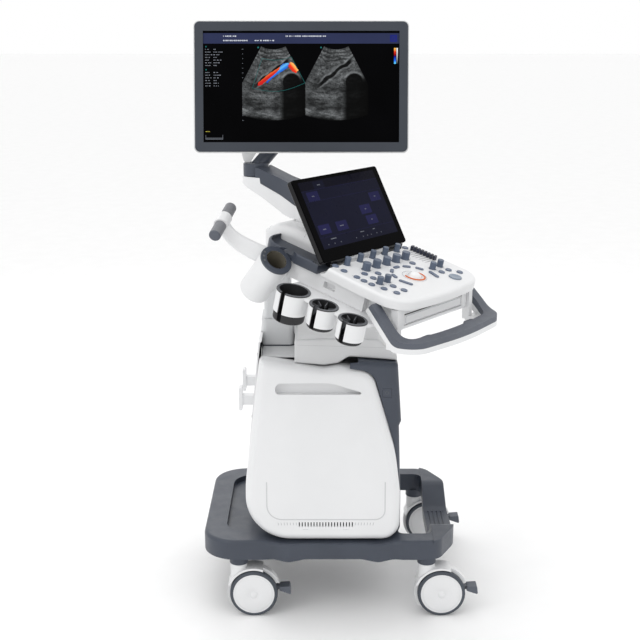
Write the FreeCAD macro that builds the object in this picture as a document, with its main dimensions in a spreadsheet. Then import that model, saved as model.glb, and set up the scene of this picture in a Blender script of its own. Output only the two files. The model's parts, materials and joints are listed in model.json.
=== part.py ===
import FreeCAD, Part
import math
import os

import Sketcher
from FreeCAD import Placement, Rotation, Vector

# Cart-mounted ultrasound machine, in millimetres. The frame's origin is on the floor, under the middle of
# the base. +Z is up, the operator stands at -Y, and the left side cover faces -X.
SIZES = {
    # base shell and frame
    "base_half_width": 250.0,
    "base_rear": 320.0,
    "base_front": -314.0,
    "base_bottom": 153.0,
    "base_top": 202.0,
    "rail_width": 50.0,
    "shell_wall": 5.0,
    "tread_top": 147.0,
    "tread_thick": 26.0,
    "rail_steel_width": 30.0,
    "rail_steel_height": 20.0,
    # casters
    "caster_track": 218.0,
    "caster_base": 232.0,
    "wheel_radius": 59.0,
    "caster_trail": 37.0,
    "wheel_width": 18.0,
    "wheel_gap": 20.0,
    "axle_radius": 5.0,
    "socket_radius": 23.0,
    "socket_bottom": 133.0,
    "stem_pin_radius": 6.0,
    "running_gap": 0.06,
    "pedal_width": 30.0,
    "pedal_reach": 129.0,
    # body covers
    "cover_bottom": 196.0,
    "cover_half_width": 235.0,
    "cover_top_half_width": 203.0,
    "cover_inner_half": 150.0,
    "cover_wall": 4.0,
    "cover_edge_round": 20.0,
    "vent_count": 19.0,
    "vent_pitch": 7.2,
    "vent_width": 2.6,
    "vent_height": 12.0,
    "button_side": 21.0,
    "module_width": 230.0,
    "module_depth": 216.0,
    "module_height": 300.0,
    # telescopic column
    "column_y": 137.0,
    "outer_depth": 80.0,
    "outer_width": 112.0,
    "outer_bottom": 204.0,
    "outer_top": 712.0,
    "inner_depth": 67.0,
    "inner_width": 98.0,
    "inner_bottom": 440.0,
    "inner_top": 832.0,
    "column_wall": 5.0,
    # console
    "console_turn": -38.0,
    "console_pivot_y": 128.0,
    "panel_slope": 13.98,
    "panel_origin_reach": 400.0,
    "panel_origin_height": 864.0,
    "panel_half_width": 174.0,
    "panel_rear_half_width": 167.0,
    "panel_rear": 150.0,
    "panel_front": 97.0,
    "panel_corner": 62.0,
    "panel_thick": 24.0,
    "turntable_radius": 62.0,
    "turntable_height": 16.0,
    "drawer_half_width": 119.0,
    "drawer_front": 57.0,
    "drawer_height": 24.0,
    "drawer_length": 176.0,
    "key_side": 12.5,
    "key_pitch": 15.5,
    # handle
    "handle_half_width": 204.0,
    "handle_front": 545.0,
    "handle_band": 30.0,
    "handle_top": 760.0,
    "grip_thick": 13.0,
    # probe holders
    "cup_one_radius": 40.0,
    "cup_two_radius": 34.0,
    "cup_three_radius": 33.5,
    "cup_one_tall": 74.0,
    "cup_two_tall": 56.0,
    "cup_three_tall": 54.0,
    "cup_wall": 3.0,
    "liner_wall": 4.0,
    "cup_slot": 13.0,
    # gel warmer
    "warmer_radius": 38.0,
    "warmer_length": 128.0,
    "warmer_bore_radius": 25.0,
    "warmer_bore_depth": 96.0,
    # cable hanger
    "hanger_bar_radius": 14.0,
    "hanger_bar_length": 132.0,
    # touch screen
    "touch_width": 330.0,
    "touch_height": 204.0,
    "touch_thick": 18.0,
    "touch_lean": 28.4,
    "touch_foot_reach": 262.0,
    "touch_foot_height": 903.0,
    # monitor and arm
    "arm_post_radius": 38.0,
    "arm_length": 166.0,
    "arm_width": 52.0,
    "hub_radius": 31.5,
    "hub_bottom": 1058.0,
    "hub_top": 1090.0,
    "monitor_width": 518.0,
    "monitor_height": 313.0,
    "monitor_lean": 10.2,
    "monitor_x": 12.0,
    "monitor_y": 77.0,
    "monitor_z": 1278.0,
    "screen_width": 476.6,
    "screen_height": 268.1,
    "bezel_thick": 16.0,
    "rear_shell_thick": 34.0,
    "monitor_corner": 12.0,
    # controls on the panel
    "ball_radius": 19.0,
    "slim_knob_radius": 7.2,
    "slim_knob_tall": 19.0,
    "large_knob_radius": 9.8,
    "large_knob_tall": 18.0,
    "small_knob_radius": 7.6,
    "small_knob_tall": 17.0,
    "button_travel": 1.2,
    "freeze_radius": 15.5,
}

doc = FreeCAD.newDocument("ultrasound_machine")
sizes = doc.addObject("Spreadsheet::Sheet", "sizes")
for row, (alias, value) in enumerate(SIZES.items(), start=1):
    sizes.set(f"A{row}", alias)
    sizes.set(f"B{row}", str(value))
    sizes.setAlias(f"B{row}", alias)
doc.recompute()

sub_parts = []


def size(alias):
    return float(sizes.get(alias))


def keep(item, label, placement=None):
    """Name a sub-part, put it in its place and list it for writing."""
    item.Label = label
    if placement is not None:
        item.Placement = placement
    sub_parts.append(item)
    return item


def feature(label, shape, placement=None):
    """A sub-part whose shape comes from Part's own functions."""
    item = doc.addObject("Part::Feature", label)
    item.Shape = shape
    return keep(item, label, placement)


# ---- plane geometry -------------------------------------------------------------------------------------


def rounded_curves(corners):
    """Lines and tangent arcs round a closed polygon of (x, y, corner radius)."""
    points = [Vector(x, y, 0) for x, y, radius in corners]
    turns = []
    for i, corner in enumerate(corners):
        here = points[i]
        back = (points[i - 1] - here).normalize()
        ahead = (points[(i + 1) % len(points)] - here).normalize()
        radius = corner[2]
        if radius <= 0:
            turns.append((here, None, here))
            continue
        half = back.getAngle(ahead) / 2
        reach = radius / math.tan(half)
        bisector = (back + ahead).normalize()
        middle = here + bisector * (radius / math.sin(half) - radius)
        turns.append((here + back * reach, middle, here + ahead * reach))
    curves = []
    for i, (entry, middle, leave) in enumerate(turns):
        if middle is not None:
            curves.append(Part.Arc(entry, middle, leave))
        following = turns[(i + 1) % len(turns)][0]
        run = following - leave
        if run.Length > 1e-6:
            if run.dot(points[(i + 1) % len(points)] - points[i]) < 0:
                raise ValueError(f"corner radii overlap after {corners[i]}")
            curves.append(Part.LineSegment(leave, following))
    return curves


def rounded_wire(corners):
    return Part.Wire([curve.toShape() for curve in rounded_curves(corners)])


PLANES = {
    "xy": Rotation(),
    "yz": Rotation(Vector(0, 1, 0), Vector(0, 0, 1), Vector(1, 0, 0), "XYZ"),
    "xz": Rotation(Vector(1, 0, 0), Vector(0, 0, 1), Vector(0, -1, 0), "XYZ"),
}


def prism(corners, plane, low, high):
    """Rounded polygon drawn in a plane and extruded between two values of the third axis."""
    wire = corners if isinstance(corners, Part.Wire) else rounded_wire(corners)
    if plane == "xz":
        low, high = -high, -low
    solid = Part.Face(wire).extrude(Vector(0, 0, high - low))
    solid.translate(Vector(0, 0, low))
    solid.Placement = Placement(Vector(), PLANES[plane]) * solid.Placement
    return solid


def block(x_low, x_high, y_low, y_high, z_low, z_high):
    return Part.makeBox(x_high - x_low, y_high - y_low, z_high - z_low, Vector(x_low, y_low, z_low))


def rounded_rectangle(half_x, half_y, radius):
    return [(-half_x, -half_y, radius), (half_x, -half_y, radius),
            (half_x, half_y, radius), (-half_x, half_y, radius)]


def soften(shape, radius, choose):
    """Fillet the chosen edges, with a smaller radius where the full one can't be built."""
    edges = [edge for edge in shape.Edges if choose(edge)]
    for share in (1.0, 0.7, 0.45, 0.25):
        try:
            rounded = shape.makeFillet(radius * share, edges)
        except Exception:
            continue
        if rounded.isValid() and rounded.Volume > 0.5 * shape.Volume:
            return rounded
    print("left sharp:", radius, len(edges))
    return shape


def at_level(axis, value, slack=0.01):
    """Choose the edges that lie in the plane where one coordinate has this value."""
    def choose(edge):
        box = edge.BoundBox
        low = {"x": box.XMin, "y": box.YMin, "z": box.ZMin}[axis]
        high = {"x": box.XMax, "y": box.YMax, "z": box.ZMax}[axis]
        return abs(low - value) < slack and abs(high - value) < slack
    return choose


def tube_between(start, end, radius):
    line = end - start
    return Part.makeCylinder(radius, line.Length, start, line)


def solid_of(shape):
    """The single solid inside a boolean's result, with its split faces merged."""
    clean = shape.removeSplitter()
    return max(clean.Solids, key=lambda solid: solid.Volume)


# ---- bodies made from sketches --------------------------------------------------------------------------


def new_body(label):
    body = doc.addObject("PartDesign::Body", label)
    body.Label = label
    return body


def new_sketch(body, role, name, lift=0.0):
    """Sketch on one of the body's own origin planes, lifted along its normal."""
    sketch = body.newObject("Sketcher::SketchObject", name)
    plane = next(item for item in body.Origin.OriginFeatures if item.Role == role)
    sketch.AttachmentSupport = [(plane, "")]
    sketch.MapMode = "FlatFace"
    sketch.AttachmentOffset = Placement(Vector(0, 0, lift), Rotation())
    return sketch


def draw_rectangle(sketch, wide, tall):
    """Rectangle centred on the sketch origin, driven by two cells."""
    half_x = size(wide) / 2
    half_y = size(tall) / 2
    corners = [Vector(-half_x, -half_y, 0), Vector(half_x, -half_y, 0),
               Vector(half_x, half_y, 0), Vector(-half_x, half_y, 0)]
    for i in range(4):
        sketch.addGeometry(Part.LineSegment(corners[i], corners[(i + 1) % 4]), False)
    for i in range(4):
        sketch.addConstraint(Sketcher.Constraint("Coincident", i, 2, (i + 1) % 4, 1))
    sketch.addConstraint(Sketcher.Constraint("Horizontal", 0))
    sketch.addConstraint(Sketcher.Constraint("Horizontal", 2))
    sketch.addConstraint(Sketcher.Constraint("Vertical", 1))
    sketch.addConstraint(Sketcher.Constraint("Vertical", 3))
    sketch.addConstraint(Sketcher.Constraint("Symmetric", 0, 1, 2, 1, -1, 1))
    across = sketch.addConstraint(Sketcher.Constraint("DistanceX", 0, 1, 0, 2, 2 * half_x))
    up = sketch.addConstraint(Sketcher.Constraint("DistanceY", 1, 1, 1, 2, 2 * half_y))
    sketch.setExpression(f"Constraints[{across}]", f"sizes.{wide}")
    sketch.setExpression(f"Constraints[{up}]", f"sizes.{tall}")


def draw_circle(sketch, radius, x=0.0, y=0.0):
    """Circle at a place in the sketch, its radius driven by an expression over the sheet."""
    index = sketch.addGeometry(Part.Circle(Vector(x, y, 0), Vector(0, 0, 1), 1.0), False)
    if x == 0.0 and y == 0.0:
        sketch.addConstraint(Sketcher.Constraint("Coincident", index, 3, -1, 1))
    value = sketch.addConstraint(Sketcher.Constraint("Radius", index, 1.0))
    sketch.setExpression(f"Constraints[{value}]", radius)


def draw_outline(sketch, corners):
    sketch.addGeometry(rounded_curves(corners), False)


def add_pad(body, sketch, length, name, reverse=False, symmetric=False):
    """Pad whose length is an expression over the sheet."""
    pad = body.newObject("PartDesign::Pad", name)
    pad.Profile = sketch
    pad.setExpression("Length", length)
    pad.Reversed = reverse
    if symmetric:
        pad.SideType = "Symmetric"
    body.Tip = pad
    doc.recompute()
    return pad


def add_pocket(body, sketch, length, name, reverse=False):
    """Pocket that has to remove material."""
    before = body.Shape.Volume
    pocket = body.newObject("PartDesign::Pocket", name)
    pocket.Profile = sketch
    pocket.setExpression("Length", length)
    pocket.Reversed = reverse
    body.Tip = pocket
    doc.recompute()
    if body.Shape.Volume > before - 1:
        raise ValueError(f"{body.Label}: {name} cut nothing")
    return pocket


def add_fillet(body, radius, name, choose):
    """Round the chosen edges of the body's tip."""
    names = [f"Edge{i + 1}" for i, edge in enumerate(body.Shape.Edges) if choose(edge)]
    tip = body.Tip
    fillet = body.newObject("PartDesign::Fillet", name)
    fillet.Base = (tip, names)
    fillet.Radius = radius
    body.Tip = fillet
    doc.recompute()
    return fillet


def upright(edge):
    box = edge.BoundBox
    return box.XLength < 0.01 and box.YLength < 0.01


# ---- frames of the turned and tilted groups -------------------------------------------------------------

console_place = Placement(Vector(0, size("console_pivot_y"), 0),
                          Rotation(Vector(0, 0, 1), size("console_turn")))
panel_place = console_place * Placement(
    Vector(0, -size("panel_origin_reach"), size("panel_origin_height")),
    Rotation(Vector(1, 0, 0), size("panel_slope")))
touch_place = console_place * Placement(
    Vector(0, -size("touch_foot_reach"), size("touch_foot_height")),
    Rotation(Vector(1, 0, 0), -size("touch_lean")))
monitor_place = Placement(Vector(size("monitor_x"), size("monitor_y"), size("monitor_z")),
                          Rotation(Vector(0, 1, 0), size("monitor_lean")) * Rotation(Vector(0, 0, 1), -90))


# ---- base -----------------------------------------------------------------------------------------------


def base_plan(inset):
    """Plan outline of the base shell, moved in from its edge. The sides wave in beside each bulge."""
    side = size("base_half_width") - inset
    front = size("base_front") + inset
    rear = size("base_rear") - inset
    nose = 155 - 0.6 * inset
    right = [(nose, front + 9, 90), (side, front + 56, 45), (side, -172, 40), (side - 5, -146, 30),
             (side + 2, -110, 40), (side - 4, -72, 40), (side - 4, 72, 40), (side + 2, 108, 40),
             (side - 5, 146, 30), (side, 172, 40), (side, rear, 86 - 0.6 * inset)]
    left = [(-x, y, radius) for x, y, radius in reversed(right)]
    return [(0, front, 1500)] + right + left


def footrest_profile(grow=0.0):
    """Front view of the footrest bar: high at the corners, low under the tread."""
    wide = size("base_half_width") + 20
    top = size("base_top") + grow
    tread = size("tread_top") + grow
    under = size("tread_top") - size("tread_thick") - grow
    floor = size("base_bottom") - grow
    right = [(82, under, 24), (128, floor, 40), (wide, floor, 0), (wide, top, 0), (140, top, 30),
             (78, tread, 30)]
    left = [(-x, z, radius) for x, z, radius in reversed(right)]
    return right + left


def base_side_view():
    """Side view of the shell's rails: high round the rear ring, low beside the body, with two bulges."""
    top = size("base_top")
    low = top - 10
    floor = size("base_bottom")
    return [(340, floor, 0), (340, top, 0), (176, top, 90), (128, low, 90), (-122, low, 90),
            (-172, top - 1, 90), (-340, top - 1, 0), (-340, floor, 0), (-156, floor, 60),
            (-112, floor - 6, 60), (-68, floor, 60), (64, floor, 60), (108, floor - 6, 60),
            (152, floor, 60)]


def make_base_shell():
    """Moulded base cover: a raised ring round a lower well, an opening, and a footrest in front."""
    bottom = size("base_bottom")
    top = size("base_top")

    def outer_rim(edge):
        middle = edge.valueAt((edge.FirstParameter + edge.LastParameter) / 2)
        return middle.z > 188 and not upright(edge) and edge.BoundBox.XLength < 450
    bar_rear = size("base_front") + 67
    inner = size("base_half_width") - size("rail_width")
    plan = prism(base_plan(0), "xy", size("tread_top") - size("tread_thick") - 2, top + 1)
    upper = soften(plan.common(prism(base_side_view(), "yz", -300, 300)), 9.0, outer_rim)
    upper = upper.cut(block(-inner, inner, -400, bar_rear, 0, 400))
    bar_zone = plan.common(block(-300, 300, -400, bar_rear, 0, 400))
    bar = bar_zone.common(prism(footrest_profile(), "xz", -400, 0))
    opening = prism([(-inner, bar_rear, 22), (inner, bar_rear, 22), (inner, -164, 16),
                     (-inner, -164, 16)], "xy", 0, 400)
    shell = solid_of(upper.cut(opening).fuse(bar))
    well = prism([(-196, -200, 0), (196, -200, 0), (196, 266, 62), (-196, 266, 62)], "xy", 189, 400)
    shell = solid_of(shell.cut(well.cut(block(-300, 300, -400, -150, 0, 400))))
    wall = size("shell_wall")
    cavity = prism(base_plan(wall + 3), "xy", bottom - 30, 183)
    cavity = cavity.cut(block(-inner - wall, inner + wall, -400, -164 + wall, 0, 400))
    cavity = cavity.cut(block(-300, 300, -400, -262, 0, 400))
    shell = solid_of(shell.cut(cavity))
    grooves = [block(-66, 66, y - 1.5, y + 1.5, size("tread_top") - 2, 400) for y in (-259, -270, -281, -292)]
    shell = shell.cut(Part.makeCompound(grooves)).cut(pillar_block(0.6, 150, 400))
    return feature("base_shell", solid_of(shell))


def pillar_block(grow, low, high):
    """Pillar under the column, as wide as the column's outer stage."""
    half_x = size("outer_width") / 2 + grow
    half_y = size("outer_depth") / 2 + grow
    centre = size("column_y")
    return block(-half_x, half_x, centre - half_y, centre + half_y, low, high)


def make_base_frame():
    """Welded steel frame inside the shell: two long rails, cross rails, a column plate and bosses."""
    half = size("rail_steel_width") / 2
    low = size("base_bottom") + 2
    high = low + size("rail_steel_height")
    track = size("caster_track")
    reach = size("caster_base")
    bars = [block(side * track - half, side * track + half, -reach - 20, reach + 20, low, high)
            for side in (-1, 1)]
    bars += [block(-track, track, y - 20, y + 20, low, high) for y in (-130, 60, 214)]
    bars.append(block(-80, 80, 60, 214, low, high))
    frame = bars[0].multiFuse(bars[1:])
    frame = frame.fuse(pillar_block(0, high, size("outer_bottom")))
    for side in (-1, 1):
        for end in (-1, 1):
            frame = frame.fuse(Part.makeCylinder(24, high - low, Vector(side * track, end * reach, low)))
    pin = size("stem_pin_radius") + size("running_gap")
    for side in (-1, 1):
        for end in (-1, 1):
            bore = Part.makeCylinder(pin, 14, Vector(side * track, end * reach, low - 1))
            frame = frame.cut(bore)
    return feature("base_frame", solid_of(frame.cut(sub_part("base_shell").Shape)))


def make_caster_sockets():
    """Four dark collars between the base frame and the casters, bored for the swivel pins."""
    item = doc.addObject("Part::Feature", "caster_sockets")
    collars = []
    low = size("socket_bottom")
    high = size("base_bottom") + 2
    for side in (-1, 1):
        for end in (-1, 1):
            centre = Vector(side * size("caster_track"), end * size("caster_base"), low)
            collar = Part.makeCylinder(size("socket_radius"), high - low, centre)
            collar = soften(collar, 2.5, at_level("z", low))
            pin = size("stem_pin_radius") + size("running_gap")
            collars.append(collar.cut(Part.makeCylinder(pin, high - low, centre)))
    item.Shape = Part.makeCompound([solid_of(collar.cut(sub_part("base_shell").Shape)) for collar in collars])
    return keep(item, "caster_sockets")


# ---- casters --------------------------------------------------------------------------------------------


def caster_housing_shape():
    """White fork between the wheels, with its stem, seen with the stem's axis at the origin."""
    trail = size("caster_trail")
    radius = size("wheel_radius")
    axle_z = radius
    half = size("wheel_gap") / 2 - 0.8
    arch = Part.makeCylinder(radius + 7, 2 * half, Vector(-half, -trail, axle_z), Vector(1, 0, 0))
    arch = arch.cut(block(-40, 40, -trail - 120, -trail - 40, -20, axle_z + 12))
    arch = arch.cut(block(-40, 40, -trail - 90, -trail + 90, -20, axle_z - 38))
    arch = arch.cut(prism([(-trail - 30, axle_z - 60, 0), (-trail - 90, axle_z - 60, 0),
                           (-trail - 90, axle_z + 26, 0), (-trail - 50, axle_z + 20, 12)],
                          "yz", -40, 40))
    top = size("socket_bottom") - 0.4
    stem = Part.makeCylinder(21, top - 84, Vector(0, 0, 84))
    cone = Part.makeCone(half, 21, 26, Vector(0, 0, 60))
    shape = arch.multiFuse([stem, cone])
    shade = Part.makeCylinder(radius + 8, 50, Vector(-25, -trail, axle_z), Vector(1, 0, 0))
    shade = shade.cut(Part.makeCylinder(radius + 3, 60, Vector(-30, -trail, axle_z), Vector(1, 0, 0)))
    shade = shade.common(block(-25, 25, -60, 40, axle_z + 22, 200))
    shape = shape.fuse(shade)
    clearance = Part.makeCylinder(radius + 1.5, 60, Vector(half + 0.2, -trail, axle_z), Vector(1, 0, 0))
    shape = shape.cut(clearance).cut(clearance.mirror(Vector(), Vector(1, 0, 0)))
    bore = size("axle_radius") + size("running_gap")
    shape = shape.cut(Part.makeCylinder(bore, 80, Vector(-40, -trail, axle_z), Vector(1, 0, 0)))
    pin = Part.makeCylinder(size("stem_pin_radius"), size("base_bottom") + 10 - top, Vector(0, 0, top - 1))
    shape = shape.fuse(pin)
    notch = Part.makeCylinder(6.6, 60, Vector(-30, -trail - 48, axle_z + 8), Vector(1, 0, 0))
    return solid_of(shape.cut(notch))


def caster_wheels_shape():
    """Two tyred wheels and their axle, seen with the stem's axis at the origin."""
    radius = size("wheel_radius")
    wide = size("wheel_width")
    inner = size("wheel_gap") / 2
    axle = size("axle_radius")
    profile = [(axle, inner, 0), (radius - 12, inner, 0), (radius, inner + 2, 3), (radius, inner + wide - 2, 4),
               (radius - 7, inner + wide + 0.5, 2), (radius - 8, inner + wide - 1, 0), (0, inner + wide + 3.5, 0),
               (0, inner + wide - 3, 0), (axle, inner + wide - 3, 0)]
    wire = rounded_wire(profile)
    wheel = Part.Face(wire).revolve(Vector(), Vector(0, 1, 0), 360)
    wheel.Placement = Placement(Vector(0, -size("caster_trail"), radius), Rotation(Vector(0, 0, 1), -90))
    other = wheel.mirror(Vector(), Vector(1, 0, 0))
    length = 2 * (inner + wide - 3)
    shaft = Part.makeCylinder(axle, length, Vector(-length / 2, -size("caster_trail"), radius), Vector(1, 0, 0))
    return Part.makeCompound([wheel, other, shaft])


def caster_pedal_shape():
    """Brake pedal: a barrel in the fork's notch, a tongue and a wide tread."""
    axle_z = size("wheel_radius")
    hinge = Vector(-8, -size("caster_trail") - 48, axle_z + 8)
    barrel = Part.makeCylinder(6, 16, hinge, Vector(1, 0, 0))
    tongue = block(-8, 8, hinge.y - 16, hinge.y, axle_z + 4, axle_z + 12)
    half = size("pedal_width") / 2
    tread = prism([(-size("pedal_reach"), axle_z - 7, 3), (-size("pedal_reach") + 3, axle_z + 15, 3),
                   (-size("pedal_reach") + 29, axle_z + 13, 4), (-size("pedal_reach") + 29, axle_z + 3, 4)],
                  "yz", -half, half)
    return solid_of(barrel.multiFuse([tongue, tread]))


def make_casters():
    """Four twin-wheel casters, each a fork, its wheels and its pedal."""
    housing = caster_housing_shape()
    wheels = caster_wheels_shape()
    pedal = caster_pedal_shape()
    corners = {"rear_left": (-1, 1), "rear_right": (1, 1), "front_left": (-1, -1), "front_right": (1, -1)}
    for corner, (side, end) in corners.items():
        place = Placement(Vector(side * size("caster_track"), end * size("caster_base"), 0), Rotation())
        feature(f"caster_fork_{corner}", housing.copy(), place)
        feature(f"caster_wheels_{corner}", wheels.copy(), place)
        feature(f"caster_pedal_{corner}", pedal.copy(), place)


# ---- body -----------------------------------------------------------------------------------------------


def side_silhouette(grow=0.0):
    """Side view of a side cover, in (y, z)."""
    return [(213 + grow, size("cover_bottom") - grow, 110 + grow),
            (213 + grow, 340, 400),
            (178 + grow, 646 + grow, 12),
            (22, 624 + grow, 60),
            (-14, 630 + grow, 60),
            (-96 - grow, 618 + grow, 45),
            (-152 - grow, 420, 400),
            (-164 - grow, 320, 200),
            (-164 - grow, size("cover_bottom") - grow, 45 + grow)]


def width_profile(inner, grow=0.0):
    """Front view of one side of the body, in (x, z): upright below, leaning in above."""
    low = size("cover_half_width") - grow
    high = size("cover_top_half_width") - grow
    return [(inner, 150, 0), (low, 150, 0), (low, 306, 500), (high, 650, 0), (high, 720, 0), (inner, 720, 0)]


def side_cover_shape():
    """Right-hand side cover: a crowned pan with a grip recess, an embossed line and vents."""
    inner = size("cover_inner_half")
    wall = size("cover_wall")
    outer = prism(side_silhouette(), "yz", inner, 260)
    outer = outer.common(prism(width_profile(inner - 1), "xz", -400, 400))

    def outside(edge):
        return edge.BoundBox.XMin > inner + 20
    outer = soften(outer, size("cover_edge_round"), outside)
    hollow = prism(side_silhouette(-wall), "yz", inner - 1, 260)
    hollow = hollow.common(prism(width_profile(inner - 2, wall), "xz", -400, 400))
    hollow = soften(hollow, size("cover_edge_round") - wall, outside)
    shape = solid_of(outer.cut(hollow))
    backing = prism([(146, 559, 10), (146, 598, 16), (4, 599, 120), (-96, 559, 4)],
                    "yz", 186, 204).common(outer)
    shape = solid_of(shape.fuse(backing))
    recess = prism([(139, 565, 9), (139, 592, 13), (4, 593, 120), (-84, 565, 3)],
                   "yz", 192, 260)
    shape = shape.cut(recess)
    pitch = size("vent_pitch")
    count = int(size("vent_count"))
    slots = []
    for i in range(count):
        y = 82 - i * pitch
        slots.append(block(190, 260, y - size("vent_width") / 2, y + size("vent_width") / 2,
                           234, 234 + size("vent_height")))
    return solid_of(shape.cut(Part.makeCompound(slots)))


def make_side_covers():
    right = side_cover_shape()
    feature("side_cover_left", right.mirror(Vector(), Vector(1, 0, 0)))
    feature("side_cover_right", right)


def front_silhouette():
    """Side view of the front cover, in (y, z)."""
    return [(-156, 638, 6), (-166, 492, 3), (-161, 480, 6), (-167, 300, 300), (-167, 197, 20),
            (-40, 197, 0), (-40, 644, 0), (-60, 646, 30)]


def make_front_cover():
    """Dark front cover, curved between the side covers, with a square hole for its button."""
    half = size("cover_top_half_width") - 2
    outer = prism(front_silhouette(), "yz", -half, half)

    def front_corner(edge):
        box = edge.BoundBox
        return box.YMax < -150 and box.XLength < 0.5 and abs(edge.CenterOfMass.x) > half - 1
    outer = soften(outer, 14.0, front_corner)
    hollow = outer.copy()
    hollow.translate(Vector(0, size("cover_wall"), 0))
    hollow = hollow.common(block(-half + 4, half - 4, -200, 0, 201, 700))
    cover = outer.cut(hollow)
    cover = cover.cut(block(-half + 4, half - 4, -60, 0, 190, 700))
    sides = prism(side_silhouette(0.8), "yz", size("cover_inner_half") - 0.6, 260)
    cover = cover.cut(sides).cut(sides.mirror(Vector(), Vector(1, 0, 0)))
    hole = size("button_side") / 2 + 0.5
    cover = cover.cut(block(half - 8, half + 2, -130 - hole, -130 + hole, 566 - hole, 566 + hole).mirror(
        Vector(), Vector(1, 0, 0)))
    return feature("front_cover", solid_of(cover))


def make_power_button():
    """Square power button in the front cover's left flank, with a stem behind it."""
    item = doc.addObject("Part::Box", "power_button")
    item.setExpression("Length", "9")
    item.setExpression("Width", "sizes.button_side")
    item.setExpression("Height", "sizes.button_side")
    half = size("button_side") / 2
    face = -size("cover_top_half_width") + 2
    keep(item, "power_button", Placement(Vector(face, -130 - half, 566 - half), Rotation()))
    return item


def make_rear_cover():
    """White rear panel between the side covers, with louvres and a hole for the power inlet."""
    half = size("cover_inner_half") - 0.6
    rear_edge = [(213, 200, 90), (213, 340, 400), (181, 679, 4), (60, 679, 0), (60, 200, 0)]
    outer = prism(rear_edge, "yz", -half, half)
    inner = outer.copy()
    inner.translate(Vector(0, -size("cover_wall"), 0))
    cover = outer.cut(inner).cut(block(-400, 400, 0, 150, 0, 800))
    louvres = [block(-90, 90, 150, 260, z, z + 5) for z in range(330, 450, 14)]
    cover = cover.cut(Part.makeCompound(louvres))
    cover = cover.cut(block(-62, 62, 150, 260, 246, 300)).cut(pillar_block(0.6, 150, 700))
    return feature("rear_cover", solid_of(cover))


def make_inlet_panel():
    """Power inlet plate with its socket recess, fuse drawer and switch opening."""
    plate = block(-61.4, 61.4, 196, 214, 246.6, 299.4)
    socket = prism([(-52, 256, 4), (-20, 256, 4), (-20, 284, 10), (-52, 284, 10)], "xz", 200, 220)
    switch = block(8, 34, 204, 220, 258, 288)
    pins = [block(-38 + dx, -34 + dx, 199, 206, 266 + dz, 272 + dz) for dx, dz in ((-8, -3), (8, -3), (0, 5))]
    shape = plate.cut(socket).cut(switch).multiFuse(pins)
    return feature("inlet_panel", solid_of(shape))


def make_cord_hooks():
    """Two hooks on the rear that the mains lead is wound round."""
    hooks = []
    for side in (-1, 1):
        x = side * 80
        arm = prism([(196, 500, 2), (228, 500, 4), (228, 524, 4), (196, 524, 2)], "yz", x - 11, x + 11)
        plate = prism([(225, 486, 4), (234, 486, 4), (234, 545, 4), (225, 545, 4)], "yz", x - 14, x + 14)
        hooks.append(solid_of(arm.fuse(plate)))
    shape = Part.makeCompound(hooks)
    shape = shape.cut(sub_part("rear_cover").Shape)
    shape = shape.cut(block(-200, 200, 100, 205, 400, 600).common(rear_filler()))
    return feature("cord_hooks", shape)


def rear_filler():
    """Space just inside the rear cover."""
    rear_edge = [(213, 200, 90), (213, 340, 400), (181, 679, 4), (60, 679, 0), (60, 200, 0)]
    return prism(rear_edge, "yz", -149, 149)


def sub_part(label):
    return next(item for item in sub_parts if item.Label == label)


def shroud_silhouette(grow=0.0):
    """Side view of the light-grey top shroud, in (y, z)."""
    return [(93 + grow, 692 + grow, 8), (-30, 697 + grow, 200), (-109 - grow, 693 + grow, 10),
            (-155 - grow, 650, 8), (-155 - grow, 640.5, 2), (-38, 650, 20), (-14, 634, 20), (20, 628, 30),
            (93 + grow, 634, 0)]


def make_top_shroud():
    """Light-grey shroud over the body, in front of the column, with a rear deck round the column."""
    half = size("cover_top_half_width") - 26
    hood = prism(shroud_silhouette(), "yz", -half, half)
    hood = soften(hood, 12.0, lambda edge: edge.BoundBox.ZMin > 640 and abs(edge.CenterOfMass.x) > half - 1)
    hollow = hood.copy()
    hollow.translate(Vector(0, 0, -4))
    hood = hood.cut(hollow.common(block(-half + 5, half - 5, -148, 88, 0, 720)))
    hood = hood.cut(block(-half + 5, half - 5, -140, 88, 600, 660))
    deck = block(-148, 148, 40, 172, 640, 644)
    deck = deck.cut(block(-half, half, 40, 93, 0, 800))
    hood = hood.fuse(deck)
    column_y = size("column_y")
    hole = prism([(x, y + column_y, 14) for x, y, r in rounded_rectangle(
        size("outer_width") / 2 + 1, size("outer_depth") / 2 + 1, 14)], "xy", 600, 760)
    return feature("top_shroud", solid_of(hood.cut(hole)))


def make_electronics_module():
    """Card cage with the beamformer, computer and power supply, inside the body."""
    body = new_body("electronics_module")
    sketch = new_sketch(body, "XY_Plane", "cage_plan")
    draw_rectangle(sketch, "module_width", "module_depth")
    add_pad(body, sketch, "sizes.module_height", "cage")
    add_fillet(body, 6, "cage_corners", upright)
    return keep(body, "electronics_module", Placement(Vector(0, -46, 206), Rotation()))


# ---- column ---------------------------------------------------------------------------------------------


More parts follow.
